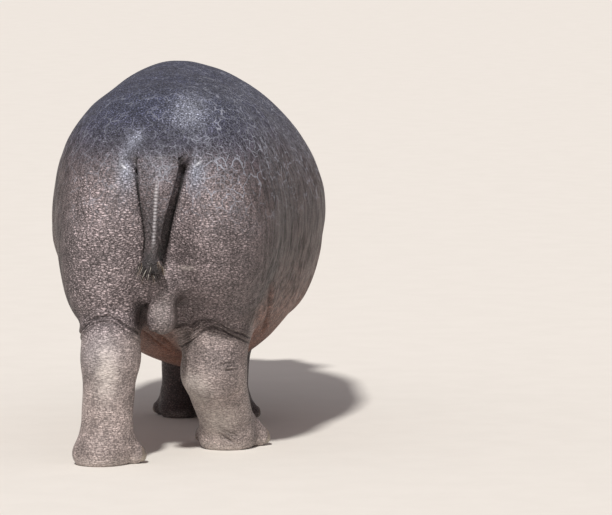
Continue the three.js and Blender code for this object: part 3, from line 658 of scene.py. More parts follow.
# The buttocks' paler colour on faces turned back, painted lighter from the right towards the left, the side
# the light comes from.
marks["seat"] = (ramp(behind, 0.15, 0.7) * ramp(-z, -1.30, -1.10) * ramp(-x, 1.0, 1.15)
                 * (0.82 + 0.18 * ramp(y, -0.1, 0.2)) * (1 - 0.5 * marks["on_tail"]))
marks["flank"] = ramp(sideways, 0.45, 0.8) * ramp(z, 0.35, 0.6)
underneath = ramp(-up, 0.25, 0.85) * ramp(-z, -0.75, -0.45) * ramp(z, 0.18, 0.30)
low_side = 0.40 * ramp(sideways, 0.3, 0.9) * ramp(-z, -0.95, -0.50) * ramp(z, 0.30, 0.40)
marks["belly"] = ramp(x, -1.20, -0.98) * np.clip(underneath + low_side, 0, 1) * ramp(-x, -0.75, -0.45)
# Pale dust on the lower legs, little on the forelegs; a patch on the right shank takes it away as painted
# shade.
marks["limb"] = (ramp(-z, -0.56, -0.46) * (0.05 + 0.95 * ramp(-x, 0.2, 0.6))
                 * (1 - patches((0.45, (-1.15, -0.20, 0.42), (0.12, 0.11, 0.07)))))
# Rubbed pale: the left hock and shank, a scar, and the soles' edges. The right hock's callus is made paler
# still as painted light, and the right foot and between the legs are pale as painted light.
marks["worn_and_painted_light"] = np.clip(patches(
    (1.25, (-1.50, 0.222, 0.365), (0.09, 0.048, 0.085)),
    (0.5, (-1.40, 0.33, 0.25), (0.09, 0.03, 0.06)),
    (2.0, (-1.18, -0.072, 0.262), (0.09, 0.060, 0.055)),
    (0.8, (-1.05, -0.16, 0.12), (0.14, 0.09, 0.08)),
    (0.3, (-1.46, 0.012, 0.60), (0.09, 0.06, 0.08)),
    (0.8, (-1.465, -0.093, 0.771), (0.05, 0.028, 0.008))) + 0.4 * ramp(-z, -0.045, -0.01), 0, 1)
# Sheen: a painted highlight in the colour, and wetter, glossier hide: on the croup, beside the tail's root
# and on it, and on the left shank.
marks["sheen"] = np.clip(patches(
    (1, (-1.287, -0.088, 1.369), (0.14, 0.070, 0.09)),
    (1, (-1.434, 0.105, 1.255), (0.07, 0.035, 0.05)),
    (1, (-1.477, 0.140, 1.150), (0.08, 0.034, 0.09)),
    (1, (-1.476, -0.130, 1.14), (0.08, 0.030, 0.075)),
    (0.5, (-1.50, 0.01, 1.15), (0.07, 0.07, 0.07)),
    (0.35, (-1.47, 0.25, 0.44), (0.10, 0.09, 0.09))), 0, 1)
marks["wet"] = np.clip(marks["on_tail"] * ramp(-z, -0.95, -0.82) + 0.7 * marks["sheen"], 0, 1)
marks["dim"] = marks["on_tail"] * (0.6 * ramp(-z, -1.06, -0.95) + 0.4 * ramp(-z, -0.86, -0.82))
# Pink: round the eyes, along the lips and in the ears.
lip_line = np.exp(-(((q[:, 2] - np.interp(q[:, 0], *MOUTH)) / 0.03) ** 2)) * ramp(q[:, 0], 0.28, 0.4)
marks["pink"] = np.clip(np.exp(-((np.linalg.norm(q - EYE, axis=1) / 0.06) ** 2)) + 0.8 * lip_line
                        + 0.8 * near(q, EAR + np.float32([0.028, 0, 0.046]), 0.055), 0, 1)
hide = mesh_piece("hide", points - MIDDLE, quads.tolist() + tris.tolist(), marks)

# ---- Hide: its finish --------------------------------------------------------------------------------------
# Bare, thick skin, slate grey above with a painted bluish reflection of the sky, and purplish brown below,
# damp enough to shine, with painted highlights of sheen. It is crackled into plates on the back, drawn
# into fine level wrinkles on the buttocks and upright ones on the flanks, and pale where it is scuffed.
# Painted shade darkens its creases, wrinkles, hollows, the lines between its cells and the right shank;
# painted light brightens the cells' tops, the left of the buttocks, the right hock and foot and between
# the legs.


def add(tree, kind, inputs=None, **settings):
    """A node of a material or group; each input is named or numbered and given a
    value or another node's output."""
    made = tree.nodes.new(kind)
    for name, value in settings.items():
        setattr(made, name, value)
    for name, value in (inputs or {}).items():
        if isinstance(value, bpy.types.NodeSocket):
            tree.links.new(value, made.inputs[name])
        else:
            made.inputs[name].default_value = value
    return made


def maths(tree, operation, a, b=0.0, clamp=False):
    """One sum of two numbers or outputs."""
    return add(tree, "ShaderNodeMath", {0: a, 1: b}, operation=operation, use_clamp=clamp).outputs[0]


def times(tree, a, b, clamp=False):
    """a times b."""
    return maths(tree, "MULTIPLY", a, b, clamp)


def plus(tree, a, b):
    """a plus b."""
    return maths(tree, "ADD", a, b)


def mixed(tree, share, a, b, kind="RGBA"):
    """a where share is 0, b where it is 1: colours, or with kind FLOAT plain numbers."""
    slots = {"RGBA": (0, 6, 7, 2), "FLOAT": (0, 2, 3, 0)}[kind]
    made = add(tree, "ShaderNodeMix", {slots[0]: share, slots[1]: a, slots[2]: b}, data_type=kind)
    return made.outputs[slots[3]]


def mapped(tree, value, low, high, to_low=0.0, to_high=1.0):
    """A value's range from low to high laid over another range, with soft ends."""
    return add(tree, "ShaderNodeMapRange", {0: value, 1: low, 2: high, 3: to_low, 4: to_high},
               interpolation_type="SMOOTHSTEP").outputs[0]


def marked(tree, name):
    """A mark on the surface: the attribute of that name."""
    return add(tree, "ShaderNodeAttribute", attribute_name=name).outputs["Fac"]


def bumped(tree, shader, height, strength=1.0):
    """Relief of a height in metres, as the shader's normal."""
    bump = add(tree, "ShaderNodeBump", {"Height": height, "Distance": 1.0, "Strength": strength})
    tree.links.new(bump.outputs[0], shader.inputs["Normal"])


def new_group(name, inputs, outputs):
    """An empty node group with named sockets: (name, kind, value) in, (name, kind) out."""
    tree = bpy.data.node_groups.new(name, "ShaderNodeTree")
    for label, kind, value in inputs:
        socket = tree.interface.new_socket(label, in_out="INPUT", socket_type="NodeSocket" + kind)
        if value is not None:
            socket.default_value = value
    for label, kind in outputs:
        tree.interface.new_socket(label, in_out="OUTPUT", socket_type="NodeSocket" + kind)
    return tree, tree.nodes.new("NodeGroupInput").outputs, tree.nodes.new("NodeGroupOutput").inputs


def cells_group():
    """Skin cells: a Voronoi net on points pushed about by noise. Gives the lines between the cells, and how
    high each cell stands, from its distance to its own edge."""
    tree, given, result = new_group(
        "skin_cells", (("Vector", "Vector", None), ("Wander", "Float", 0.3), ("Line", "Float", 0.1)),
        (("Line", "Float"), ("Height", "Float")))
    wander = add(tree, "ShaderNodeTexNoise", {"Vector": given["Vector"], "Scale": 0.9, "Detail": 2.0})
    shift = add(tree, "ShaderNodeVectorMath", {0: wander.outputs["Color"], 1: (0.5, 0.5, 0.5)},
                operation="SUBTRACT").outputs[0]
    shift = add(tree, "ShaderNodeVectorMath", {0: shift, "Scale": given["Wander"]},
                operation="SCALE").outputs[0]
    moved = add(tree, "ShaderNodeVectorMath", {0: given["Vector"], 1: shift}, operation="ADD").outputs[0]
    net = add(tree, "ShaderNodeTexVoronoi", {"Vector": moved, "Scale": 1.0}, feature="DISTANCE_TO_EDGE")
    tree.links.new(mapped(tree, net.outputs["Distance"], 0.0, given["Line"], 1.0, 0.0), result["Line"])
    tree.links.new(mapped(tree, net.outputs["Distance"], 0.0, 0.40), result["Height"])
    return tree


def mottle_group():
    """Cloudy variation about a middle of 0.5: broad noise with finer noise over it."""
    tree, given, result = new_group(
        "mottle", (("Vector", "Vector", None), ("Scale", "Float", 6.0)), (("Value", "Float"),))
    broad = add(tree, "ShaderNodeTexNoise",
                {"Vector": given["Vector"], "Scale": given["Scale"], "Detail": 4.0, "Roughness": 0.6})
    tree.links.new(mapped(tree, broad.outputs["Fac"], 0.28, 0.72), result["Value"])
    return tree


CELLS, MOTTLE = cells_group(), mottle_group()


def use(tree, group, inputs):
    """A node group placed in a material with its own values."""
    made = tree.nodes.new("ShaderNodeGroup")
    made.node_tree = group
    for name, value in inputs.items():
        if isinstance(value, bpy.types.NodeSocket):
            tree.links.new(value, made.inputs[name])
        else:
            made.inputs[name].default_value = value
    return made.outputs


def new_material(name, **constants):
    """A material with one Principled shader; constants are set on its own
    sockets (names with _ for spaces)."""
    material = bpy.data.materials.new(name)
    material.use_nodes = True
    tree = material.node_tree
    shader = tree.nodes["Principled BSDF"]
    for label, value in constants.items():
        shader.inputs[label.replace("_", " ")].default_value = value
    where = tree.nodes.new("ShaderNodeTexCoord").outputs["Object"]
    return material, tree, shader, where


# Colours, as light the hide sends back. The sheen colour is a painted highlight, the slate of the back holds
# a painted bluish reflection of the sky, the crease, wrinkle and hollow darks are painted shade, and the
# callus pale is also painted light on the right leg and between the legs.
SIDES, SLATE_AND_PAINTED_SKY_BLUE, BUTTOCKS = (0.064, 0.043, 0.043, 1), (0.063, 0.070, 0.116, 1), (0.262, 0.216, 0.222, 1)
DUSTY_LIMBS, BELLY, FLESH_PINK = (0.345, 0.285, 0.270, 1), (0.210, 0.095, 0.066, 1), (0.24, 0.125, 0.105, 1)
PAINTED_SHEEN, TAIL_TIP_DARK, SEAMS = (0.31, 0.33, 0.41, 1), (0.048, 0.040, 0.043, 1), (0.36, 0.38, 0.45, 1)
CALLUS_AND_PAINTED_LIGHT, TAIL_BEADS, TAIL_GREY = (0.66, 0.60, 0.56, 1), (0.48, 0.46, 0.48, 1), (0.022, 0.022, 0.025, 1)
CREASE_SHADE_PAINTED, WRINKLE_SHADE_PAINTED = (0.018, 0.013, 0.013, 1), (0.022, 0.016, 0.016, 1)
HOLLOW_SHADE_PAINTED = (0.008, 0.007, 0.007, 1)
# Waves of the material, in radians a metre: a bead every 13 mm, as in the form, and a wrinkle every 12 mm.
BEAD_WAVE, WRINKLE_WAVE = 483.0, 520.0


def hide_ground(tree):
    """The hide's colour, one tint laid over another by the marks: its own tints, with a painted bluish
    reflection of the sky on the back, the buttocks painted lighter on the left, and painted highlights of
    sheen.
    """
    back, seat = marked(tree, "back"), marked(tree, "seat")
    # Slate above, with a painted bluish reflection of the sky.
    colour = mixed(tree, back, SIDES, SLATE_AND_PAINTED_SKY_BLUE)
    colour = mixed(tree, times(tree, seat, maths(tree, "SUBTRACT", 1.0, back)), colour, BUTTOCKS)
    colour = mixed(tree, marked(tree, "limb"), colour, DUSTY_LIMBS)
    colour = mixed(tree, marked(tree, "belly"), colour, BELLY)
    colour = mixed(tree, times(tree, marked(tree, "pink"), 0.6), colour, FLESH_PINK)
    # Painted highlight: the sheen patches mixed towards a pale bluish colour.
    colour = mixed(tree, times(tree, marked(tree, "sheen"), 0.8), colour, PAINTED_SHEEN)
    return mixed(tree, marked(tree, "dim"), colour, TAIL_TIP_DARK)


def cells(tree, where, scale, wander, line):
    """Skin cells on the hide stretched by a scale across, along and up."""
    stretched = add(tree, "ShaderNodeMapping", {"Vector": where, "Scale": scale}).outputs[0]
    return use(tree, CELLS, {"Vector": stretched, "Wander": wander, "Line": line})


def hide_tops(tree, where, flank):
    """How high the skin stands between its wrinkles, and the same for small even cells: level cells on the
    buttocks, rings round the legs, upright streaks on the flanks, small even cells elsewhere."""
    level = cells(tree, where, (50, 50, 125), 1.1, 0.22)["Height"]
    rings = cells(tree, where, (38, 38, 130), 1.4, 0.22)["Height"]
    even = cells(tree, where, (92, 92, 120), 1.2, 0.20)["Height"]
    upright = add(tree, "ShaderNodeMapping", {"Vector": where, "Scale": (36, 70, 6)}).outputs[0]
    streak = add(tree, "ShaderNodeTexNoise", {"Vector": upright, "Scale": 1.0, "Detail": 3.0}).outputs["Fac"]
    streak = mixed(tree, 0.30, mapped(tree, streak, 0.30, 0.70), even, "FLOAT")
    tops = mixed(tree, marked(tree, "seat"), mixed(tree, flank, even, streak, "FLOAT"), level, "FLOAT")
    return mixed(tree, times(tree, marked(tree, "limb"), 0.6), tops, rings, "FLOAT"), even


def hide_seams(tree, where, spots, cloud):
    """Dry pale seams: a broken net of plates, strong on the upper right of the back, and fainter chips in
    it."""
    plates, chips = (cells(tree, where, (18, 23, 18), 1.0, 0.066)["Line"],
                     cells(tree, where, (54, 60, 42), 0.9, 0.12)["Line"])
    plates = times(tree, plates, mapped(tree, spots, 0.20, 0.70))
    chips = times(tree, chips, mapped(tree, cloud, 0.9, 0.3, 0.0, 0.45))
    return times(tree, maths(tree, "MAXIMUM", plates, chips), marked(tree, "crackled"))


def hide_folds(tree, colour, grain, cloud):
    """Folds: painted shade in the crease, ringed by wrinkles, sines of the distance that run beside it, with
    painted shade where they dip. Gives the colour and the relief in metres."""
    relief = 0.0
    broken = mapped(tree, grain, 0.25, 0.75, 0.45, 1.0)
    for which in "ab":
        distance = marked(tree, "crease_" + which)
        far = maths(tree, "ABSOLUTE", distance)
        strength = mapped(tree, marked(tree, "folded_" + which), 0.02, 0.5)
        # Painted shade in the crease.
        dark = times(tree, mapped(tree, far, 0.0005, 0.0065, 1.0, 0.0), strength)
        colour = mixed(tree, times(tree, dark, times(tree, broken, 0.85)), colour, CREASE_SHADE_PAINTED)
        uneven = add(tree, "ShaderNodeMath", {0: cloud, 1: 6.0, 2: 0.5}, operation="MULTIPLY_ADD").outputs[0]
        wave = maths(tree, "SINE", plus(tree, times(tree, distance, WRINKLE_WAVE), uneven))
        ring = times(tree, times(tree, wave, strength), mapped(tree, far, 0.004, 0.06, 1.0, 0.0))
        # Painted shade in the wrinkles' troughs.
        colour = mixed(tree, times(tree, times(tree, ring, 0.55, True), broken), colour, WRINKLE_SHADE_PAINTED)
        relief = plus(tree, relief, times(tree, ring, -0.0014))
        relief = plus(tree, relief, times(tree, dark, -0.004))
    return colour, relief


def hide_material():
    """The ground colour times a tone from cells, grain and mottle, in which the cells' tops are painted light
    and the lines round them painted shade, then seams, scuffed patches with painted light in some, beads,
    folds with painted shade, and hollows in painted shade over it. The relief is the sum of the same
    patterns, and the gloss is duller in the wrinkles."""
    material, tree, shader, where = new_material("hippo_hide", IOR=1.42, Coat_Roughness=0.28)
    names = ("face", "limb", "flank", "worn_and_painted_light", "wet", "dim")
    face, limb, flank, worn_and_painted_light, wet, dim = (marked(tree, name) for name in names)
    cloud, spots, grain = (use(tree, MOTTLE, {"Vector": where, "Scale": scale})["Value"]
                           for scale in (3.5, 14.0, 150.0))
    tops, even = hide_tops(tree, where, flank)
    # Painted light and shade of the relief: each cell is painted pale on its top and dark in the lines
    # round it, and grain breaks it up. The face is smoother.
    calm = maths(tree, "MAXIMUM", face, times(tree, limb, 0.50))
    tone = plus(tree, times(tree, tops, mapped(tree, calm, 0.0, 1.0, 1.25, 0.45)),
                mapped(tree, calm, 0.0, 1.0, 0.36, 0.75))
    strong, faint = (mapped(tree, grain, 0.15, 0.85, 1 - depth, 1 + depth) for depth in (0.55, 0.20))
    tone = times(tree, tone, mixed(tree, calm, strong, faint, "FLOAT"))
    tone = times(tree, tone, mapped(tree, spots, 0.0, 1.0, 0.84, 1.16))
    tone = times(tree, tone, mapped(tree, cloud, 0.0, 1.0, 0.86, 1.14))
    colour = add(tree, "ShaderNodeVectorMath", {0: hide_ground(tree), "Scale": tone},
                 operation="SCALE").outputs[0]
    seam = hide_seams(tree, where, spots, cloud)
    colour = mixed(tree, times(tree, seam, 0.9), colour, SEAMS)
    # Pale patches: real calluses and scuffs, and painted light on the right hock, right foot and between the
    # legs.
    rubbed_and_painted_light = times(tree, worn_and_painted_light, mapped(tree, spots, 0.0, 0.6, 0.45, 1.0))
    rubbed_and_painted_light = times(tree, rubbed_and_painted_light, mapped(tree, tops, 0.0, 0.5, 0.45, 1.0))
    colour = mixed(tree, times(tree, rubbed_and_painted_light, 0.85), colour, CALLUS_AND_PAINTED_LIGHT)
    # Beads of the tail's ridge.
    height = add(tree, "ShaderNodeSeparateXYZ", {0: where}).outputs[2]
    beads = mapped(tree, maths(tree, "SINE", times(tree, height, BEAD_WAVE)), -0.8, 0.6, 0.25, 1.0)
    colour = mixed(tree, times(tree, marked(tree, "ridge"), beads), colour, TAIL_BEADS)
    colour = mixed(tree, times(tree, dim, 0.25), colour, TAIL_GREY)
    colour, relief = hide_folds(tree, colour, grain, cloud)
    # Painted shade in the hollows.
    colour = mixed(tree, times(tree, marked(tree, "hollow"), 0.93, True), colour, HOLLOW_SHADE_PAINTED)
    tree.links.new(colour, shader.inputs["Base Color"])
    relief = plus(tree, relief, times(tree, tops, mapped(tree, face, 0.0, 1.0, 0.0026, 0.0010)))
    relief = plus(tree, relief, times(tree, times(tree, flank, even), 0.0035))
    for pattern, depth in ((grain, 0.0012), (seam, 0.0010), (spots, 0.0015)):
        relief = plus(tree, relief, times(tree, pattern, depth))
    bumped(tree, shader, relief, 0.9)
    rough = mixed(tree, times(tree, tops, 1.7, True), 0.62, 0.40, "FLOAT")
    rough = mixed(tree, worn_and_painted_light, rough, 0.72, "FLOAT")
    tree.links.new(mixed(tree, wet, rough, 0.26, "FLOAT"), shader.inputs["Roughness"])
    tree.links.new(times(tree, wet, 0.5), shader.inputs["Coat Weight"])
    return material


hide.data.materials.append(hide_material())
FLESH_NODES = [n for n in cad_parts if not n.startswith(("nail_", "eye_"))]
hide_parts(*FLESH_NODES)
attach(hide, "root")

# ---- Eyes --------------------------------------------------------------------------------------------------
# Small dark eyes under heavy lids: a ball with a clear bulge in front, brown iris and a level oval pupil.
# The lids of the hide hold it in.


def round_grid(rows, columns):
    """Angles of a ball's grid: round its axis, and down from one pole to the other, both poles left out."""
    around = np.linspace(0, 2 * np.pi, columns, endpoint=False)
    return np.meshgrid(around, np.linspace(0, np.pi, rows + 2)[1:-1])


def round_facets(rows, columns):
    """Facets of a closed skin whose points are a pole, then rows of rings, then the other pole."""
    at = 1 + np.arange(rows * columns).reshape(rows, columns)
    on = np.roll(at, -1, 1)
    facets = np.stack([at[:-1], at[1:], on[1:], on[:-1]], -1).reshape(-1, 4).tolist()
    facets += [[0, a, b] for a, b in zip(at[0], on[0])]
    return facets + [[1 + rows * columns, b, a] for a, b in zip(at[-1], on[-1])]


EYE_ROWS, EYE_COLUMNS = 39, 48
BULGE, BULGE_EDGE = 0.055, 38  # a share of the radius; degrees from straight ahead


def eyeball(side, label):
    """Rings about the line of sight. The radius is the ball's, plus a bulge of (1 -
    (angle / 38 degrees)^2)^2 in front."""
    around, down = round_grid(EYE_ROWS, EYE_COLUMNS)
    r = EYE_RADIUS * (1 + BULGE * np.clip(1 - (np.degrees(down) / BULGE_EDGE) ** 2, 0, 1) ** 2)
    across = r * np.sin(down)
    local = np.stack([r * np.cos(down), across * np.cos(around), across * np.sin(around)], -1).reshape(-1, 3)
    local = np.concatenate([[[EYE_RADIUS * (1 + BULGE), 0, 0]], local, [[-EYE_RADIUS, 0, 0]]])
    facets = round_facets(EYE_ROWS, EYE_COLUMNS)
    if side < 0:
        facets = [f[::-1] for f in facets]
    flat = np.float32([1, side, 1])
    look, slit, top = LOOK * flat, SLIT * flat, LID_UP * flat
    world = from_head(EYE * flat + local[:, :1] * look + local[:, 1:2] * slit + local[:, 2:] * top) - MIDDLE
    out = np.degrees(np.arccos(np.clip(local[:, 0] / np.linalg.norm(local, axis=1), -1, 1)))
    return mesh_piece(label, world, facets, {"from_front": out, "level": local[:, 1], "upward": local[:, 2]})


PUPIL_WIDE, PUPIL_HIGH = 0.0062, 0.0036  # from its middle


def eye_material():
    """A dark oval of pupil, 6.2 by 3.6 mm from its middle, an iris mottled in two browns, then a muddy
    white, all under a clear wet coat."""
    material, tree, shader, where = new_material(
        "hippo_eye", Roughness=0.12, Coat_Weight=1.0, Coat_Roughness=0.03, IOR=1.38)
    level = times(tree, marked(tree, "level"), 1 / PUPIL_WIDE)
    upward = times(tree, marked(tree, "upward"), 1 / PUPIL_HIGH)
    oval = maths(tree, "SQRT", plus(tree, times(tree, level, level), times(tree, upward, upward)))
    cloud = use(tree, MOTTLE, {"Vector": where, "Scale": 420.0})["Value"]
    iris = mixed(tree, cloud, (0.035, 0.016, 0.007, 1), (0.11, 0.050, 0.020, 1))
    white = mixed(tree, cloud, (0.10, 0.050, 0.040, 1), (0.16, 0.10, 0.085, 1))
    colour = mixed(tree, mapped(tree, marked(tree, "from_front"), 30.0, 36.0), iris, white)
    colour = mixed(tree, mapped(tree, oval, 0.85, 1.1, 1.0, 0.0), colour, (0.002, 0.002, 0.002, 1))
    tree.links.new(colour, shader.inputs["Base Color"])
    return material


eye_finish = eye_material()
for side, label in ((1, "left"), (-1, "right")):
    eye = eyeball(side, "eyeball_" + label)
    eye.data.materials.append(eye_finish)
    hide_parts("eye_" + label)
    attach(eye, "root")

# ---- Toenails ----------------------------------------------------------------------------------------------
# Blunt, domed hoof-like nails of horn, one let into the front of each toe, ridged across by growth and
# scuffed pale at the edge that meets the ground.
NAIL_RADII, NAIL_AHEAD, NAIL_UP, NAIL_TILT = np.array([0.0255, 0.0275, 0.0315]), 0.024, 0.038, -14
NAIL_ROWS, NAIL_COLUMNS, SQUARE, GROWTH, GROWTH_WAVE = 27, 36, 2.5, 0.012, 19


def toenail(name, angle, reach, label):
    """A ball flattened towards a box (the sum of each offset to the power SQUARE is 1), with growth
    ridges, tilted back on the toe."""
    x, y, heading, size = FEET[name]
    around, down = round_grid(NAIL_ROWS, NAIL_COLUMNS)
    ball = np.stack([np.sin(down) * np.cos(around), np.sin(down) * np.sin(around), np.cos(down)], -1)
    ball = np.concatenate([[[0, 0, 1]], ball.reshape(-1, 3), [[0, 0, -1]]])
    ball /= (np.abs(ball) ** SQUARE).sum(1)[:, None] ** (1 / SQUARE)
    ball *= (1 + GROWTH * np.sin(ball[:, 2] * GROWTH_WAVE) * ramp(ball[:, 0], 0.1, 0.5))[:, None]
    out = reach + NAIL_AHEAD
    c, s = math.cos(math.radians(heading + angle)), math.sin(math.radians(heading + angle))
    spot = np.array([x + out * c * size, y + out * s * size, NAIL_UP * size])
    world = ((ball * NAIL_RADII * size) @ turned(pitch=NAIL_TILT)) @ turned(yaw=heading + angle) + spot
    world[:, 2] = np.maximum(world[:, 2], 0.0006)
    facets = round_facets(NAIL_ROWS, NAIL_COLUMNS)
    return mesh_piece(label, world - MIDDLE, facets, {"rise": ball[:, 2], "front": ball[:, 0]})


def nail_material():
    """Grey-brown horn, banded across by a sine of the height, dusty and pale at the worn lower edge."""
    material, tree, shader, where = new_material(
        "toenail_horn", IOR=1.5, Coat_Weight=0.15, Coat_Roughness=0.35)
    rise = marked(tree, "rise")
    spots = use(tree, MOTTLE, {"Vector": where, "Scale": 90.0})["Value"]
    cloud = use(tree, MOTTLE, {"Vector": where, "Scale": 22.0})["Value"]
    wave = plus(tree, times(tree, rise, 34.0), times(tree, spots, 1.6))
    band = mapped(tree, maths(tree, "SINE", wave), -1.0, 1.0)
    colour = mixed(tree, cloud, (0.115, 0.088, 0.070, 1), (0.20, 0.165, 0.14, 1))
    colour = mixed(tree, times(tree, band, 0.35), colour, (0.07, 0.052, 0.044, 1))
    edge = times(tree, mapped(tree, rise, -0.8, 0.1, 1.0, 0.0), mapped(tree, spots, 0.0, 0.7, 0.4, 1.0))
    colour = mixed(tree, times(tree, edge, 0.7), colour, (0.42, 0.37, 0.31, 1))
    tree.links.new(colour, shader.inputs["Base Color"])
    bumped(tree, shader, plus(tree, times(tree, band, 0.0006), times(tree, spots, 0.0006)), 0.8)
    tree.links.new(mixed(tree, spots, 0.38, 0.62, "FLOAT"), shader.inputs["Roughness"])
    return material


horn = nail_material()
for foot_name in FEET:
    for number, (angle, reach) in enumerate(TOES, 1):
        nail = toenail(foot_name, angle, reach, f"toenail_{foot_name}_{number}")
        nail.data.materials.append(horn)
        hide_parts(f"nail_{foot_name}_{number}")
        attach(nail, "root")

# ---- Bristles of the tail, ears and muzzle -----------------------------------------------------------------
# The only hair it has: a fringe of short, stiff, wet bristles round the tip of the tail, soft short hair on
# the rims of the ears, and sparse stout whiskers on the lips. Each is a tapering strand rooted in the hide.
dice = np.random.default_rng(7)
RINGS, SIDES_ROUND = 6, 4  # of a strand
PATCH, ROOTED = 0.003, 0.002  # a strand's width on the map, and how deep its root is
EACH = RINGS * SIDES_ROUND + 2


def unit_rows(v):
    """Each row over its own length."""
    return v / np.linalg.norm(v, axis=1)[:, None]


def strands(name, roots, ways, lengths, droop, thick, patch_of):
    """Each strand is root + s * length * (way + s * droop), s from 0 to 1, four-sided, its radius falling as
    1 - 0.8 s^2. Its own patch of the OFBake map is s up it and the turn across it."""
    s = np.linspace(0, 1, RINGS)
    count = len(roots)
    line = ways[:, None] + s[:, None] * np.float32(droop)
    line = roots[:, None] + (s[:, None] * lengths[:, None, None]) * line
    across = unit_rows(np.cross(ways, [0.3, 0.5, 0.8]))
    other = np.cross(ways, across)
    radius = thick[:, None] * (1 - 0.8 * s**2)
    rings = np.stack([line + radius[..., None] * (math.cos(a) * across + math.sin(a) * other)[:, None]
                      for a in np.arange(SIDES_ROUND) * 2 * math.pi / SIDES_ROUND], 2).reshape(count, -1, 3)
    points = np.concatenate([rings, line[:, :1], line[:, -1:] + ways[:, None] * 0.0005], 1)
    corners = [(j, (j + 1) % SIDES_ROUND) for j in range(SIDES_ROUND)]
    facets = [[low + a, low + b, low + SIDES_ROUND + b, low + SIDES_ROUND + a]
              for low in range(0, EACH - 2 - SIDES_ROUND, SIDES_ROUND) for a, b in corners]
    facets += [[EACH - 2, b, a] for a, b in corners]
    facets += [[EACH - 1, EACH - 2 - SIDES_ROUND + a, EACH - 2 - SIDES_ROUND + b] for a, b in corners]
    facets = [[v + EACH * n for v in f] for n in range(count) for f in facets]
    up_it = np.concatenate([np.repeat(s, SIDES_ROUND), [0, 1]])
    round_it = np.concatenate([np.tile(np.arange(SIDES_ROUND) / SIDES_ROUND, RINGS), [0.5, 0.5]])
    piece = mesh_piece(name, points.reshape(-1, 3) - MIDDLE, facets,
                       {"tone": np.repeat(dice.random(count), EACH), "down": np.tile(up_it, count)})
    layer = piece.data.uv_layers.new(name="OFBake")
    corner = np.zeros(len(piece.data.loops), np.int32)
    piece.data.loops.foreach_get("vertex_index", corner)
    owner, local = corner // EACH, corner % EACH
    uv = patch_of[owner] + PATCH * np.stack([round_it[local], up_it[local]], 1)
    layer.data.foreach_set("uv", uv.astype(np.float32).ravel())
    return piece


def hair_material(name, dark, warm, pale):
    """Each strand is dark, rusty or pale by its own tone, and lighter towards its tip."""
    material, tree, shader, where = new_material(name, IOR=1.5)
    tone, down = marked(tree, "tone"), marked(tree, "down")
    colour = mixed(tree, mapped(tree, tone, 0.72, 0.80), dark, warm)
    colour = mixed(tree, mapped(tree, tone, 0.88, 0.94), colour, pale)
    colour = mixed(tree, times(tree, down, 0.12), colour, warm)
    tree.links.new(colour, shader.inputs["Base Color"])
    spots = use(tree, MOTTLE, {"Vector": where, "Scale": 300.0})["Value"]
    tree.links.new(mixed(tree, spots, 0.28, 0.50, "FLOAT"), shader.inputs["Roughness"])
    bumped(tree, shader, times(tree, spots, 0.0002))
    return material


# Tail: most stand round the blunt tip, a few up its edges.
TAIL_COUNT, EAR_COUNT, LIP_COUNT = 170, 170, 190
spin = dice.uniform(0, 2 * np.pi, TAIL_COUNT)
z_root = TAIL_TIP + 0.004 + 0.055 * dice.random(TAIL_COUNT) ** 1.6
t, back, middle, half = tail_line(z_root)
low = np.clip((z_root - TAIL_TIP) / 0.03, 0.25, 1) ** 0.5
roots = np.stack([back + 0.024 * low * np.cos(spin), middle + half * low * 0.93 * np.sin(spin), z_root], 1)
ways = np.stack([0.35 * np.cos(spin) - 0.15, 0.55 * np.sin(spin), -np.ones(TAIL_COUNT) * 0.9], 1)
ways = unit_rows(ways + dice.normal(0, 0.18, (TAIL_COUNT, 3)))
roots = settled(flesh, roots, 4) - ROOTED * ways
tail_hair = strands("tail_bristles", roots, ways, dice.uniform(0.022, 0.052, TAIL_COUNT), (0, 0, -0.25),
                    dice.uniform(0.0007, 0.0012, TAIL_COUNT),
                    np.stack([0.2 + 0.6 * spin / (2 * np.pi), 0.1 + 10 * (z_root - TAIL_TIP)], 1))

# Ears: a soft fringe round each rim, standing off it.
fringes = []
for side, label in ((1, "left"), (-1, "right")):
    round_rim = dice.uniform(-2.3, 2.3, EAR_COUNT)
    inward = dice.uniform(0, 0.012, EAR_COUNT)
    local = np.stack([inward, 0.050 * np.sin(round_rim), 0.066 * np.cos(round_rim)], 1)
    flat = np.float32([1, side, 1])
    rim = from_head((EAR + np.float32([0, 0, 0.04]) + local @ EAR_TURN) * flat)
    away = from_head((EAR + (local * [0.3, 1.3, 1]) @ EAR_TURN) * flat) - from_head(EAR * flat)
    away = unit_rows(unit_rows(away) + dice.normal(0, 0.22, (EAR_COUNT, 3)))
    rim = settled(flesh, rim, 4) - ROOTED * away
    fringes.append(strands("ear_fringe_" + label, rim, away, dice.uniform(0.010, 0.022, EAR_COUNT),
                           (0, 0, 0.1), dice.uniform(0.0004, 0.0006, EAR_COUNT),
                           np.stack([0.5 + 0.18 * round_rim, 0.4 + 8 * inward], 1)))

# Lips: sparse stout whiskers over the broad front of the muzzle and the chin.
swing, rise = dice.uniform(-1.35, 1.35, LIP_COUNT), dice.uniform(-1.15, 0.25, LIP_COUNT)
facing = np.stack([np.cos(swing) * np.cos(rise), np.sin(swing) * np.cos(rise), np.sin(rise)], 1)
lips = from_head(np.float32([0.66, 0, -0.06]) + facing * [0.15, 0.21, 0.19])
lips = settled(flesh, lips, 8)
out = unit_rows(slope(flesh, lips)) + dice.normal(0, 0.15, (LIP_COUNT, 3)) + [0, 0, -0.25]
out = unit_rows(out)
fringes.append(strands("whiskers", lips - ROOTED * out, out, dice.uniform(0.010, 0.026, LIP_COUNT),
                       (0, 0, -0.35), dice.uniform(0.0005, 0.0009, LIP_COUNT),
                       np.stack([0.5 + 0.3 * swing, 0.6 + 0.3 * rise], 1)))
bristle = hair_material("bristle", (0.012, 0.010, 0.010, 1), (0.13, 0.070, 0.036, 1), (0.62, 0.58, 0.52, 1))
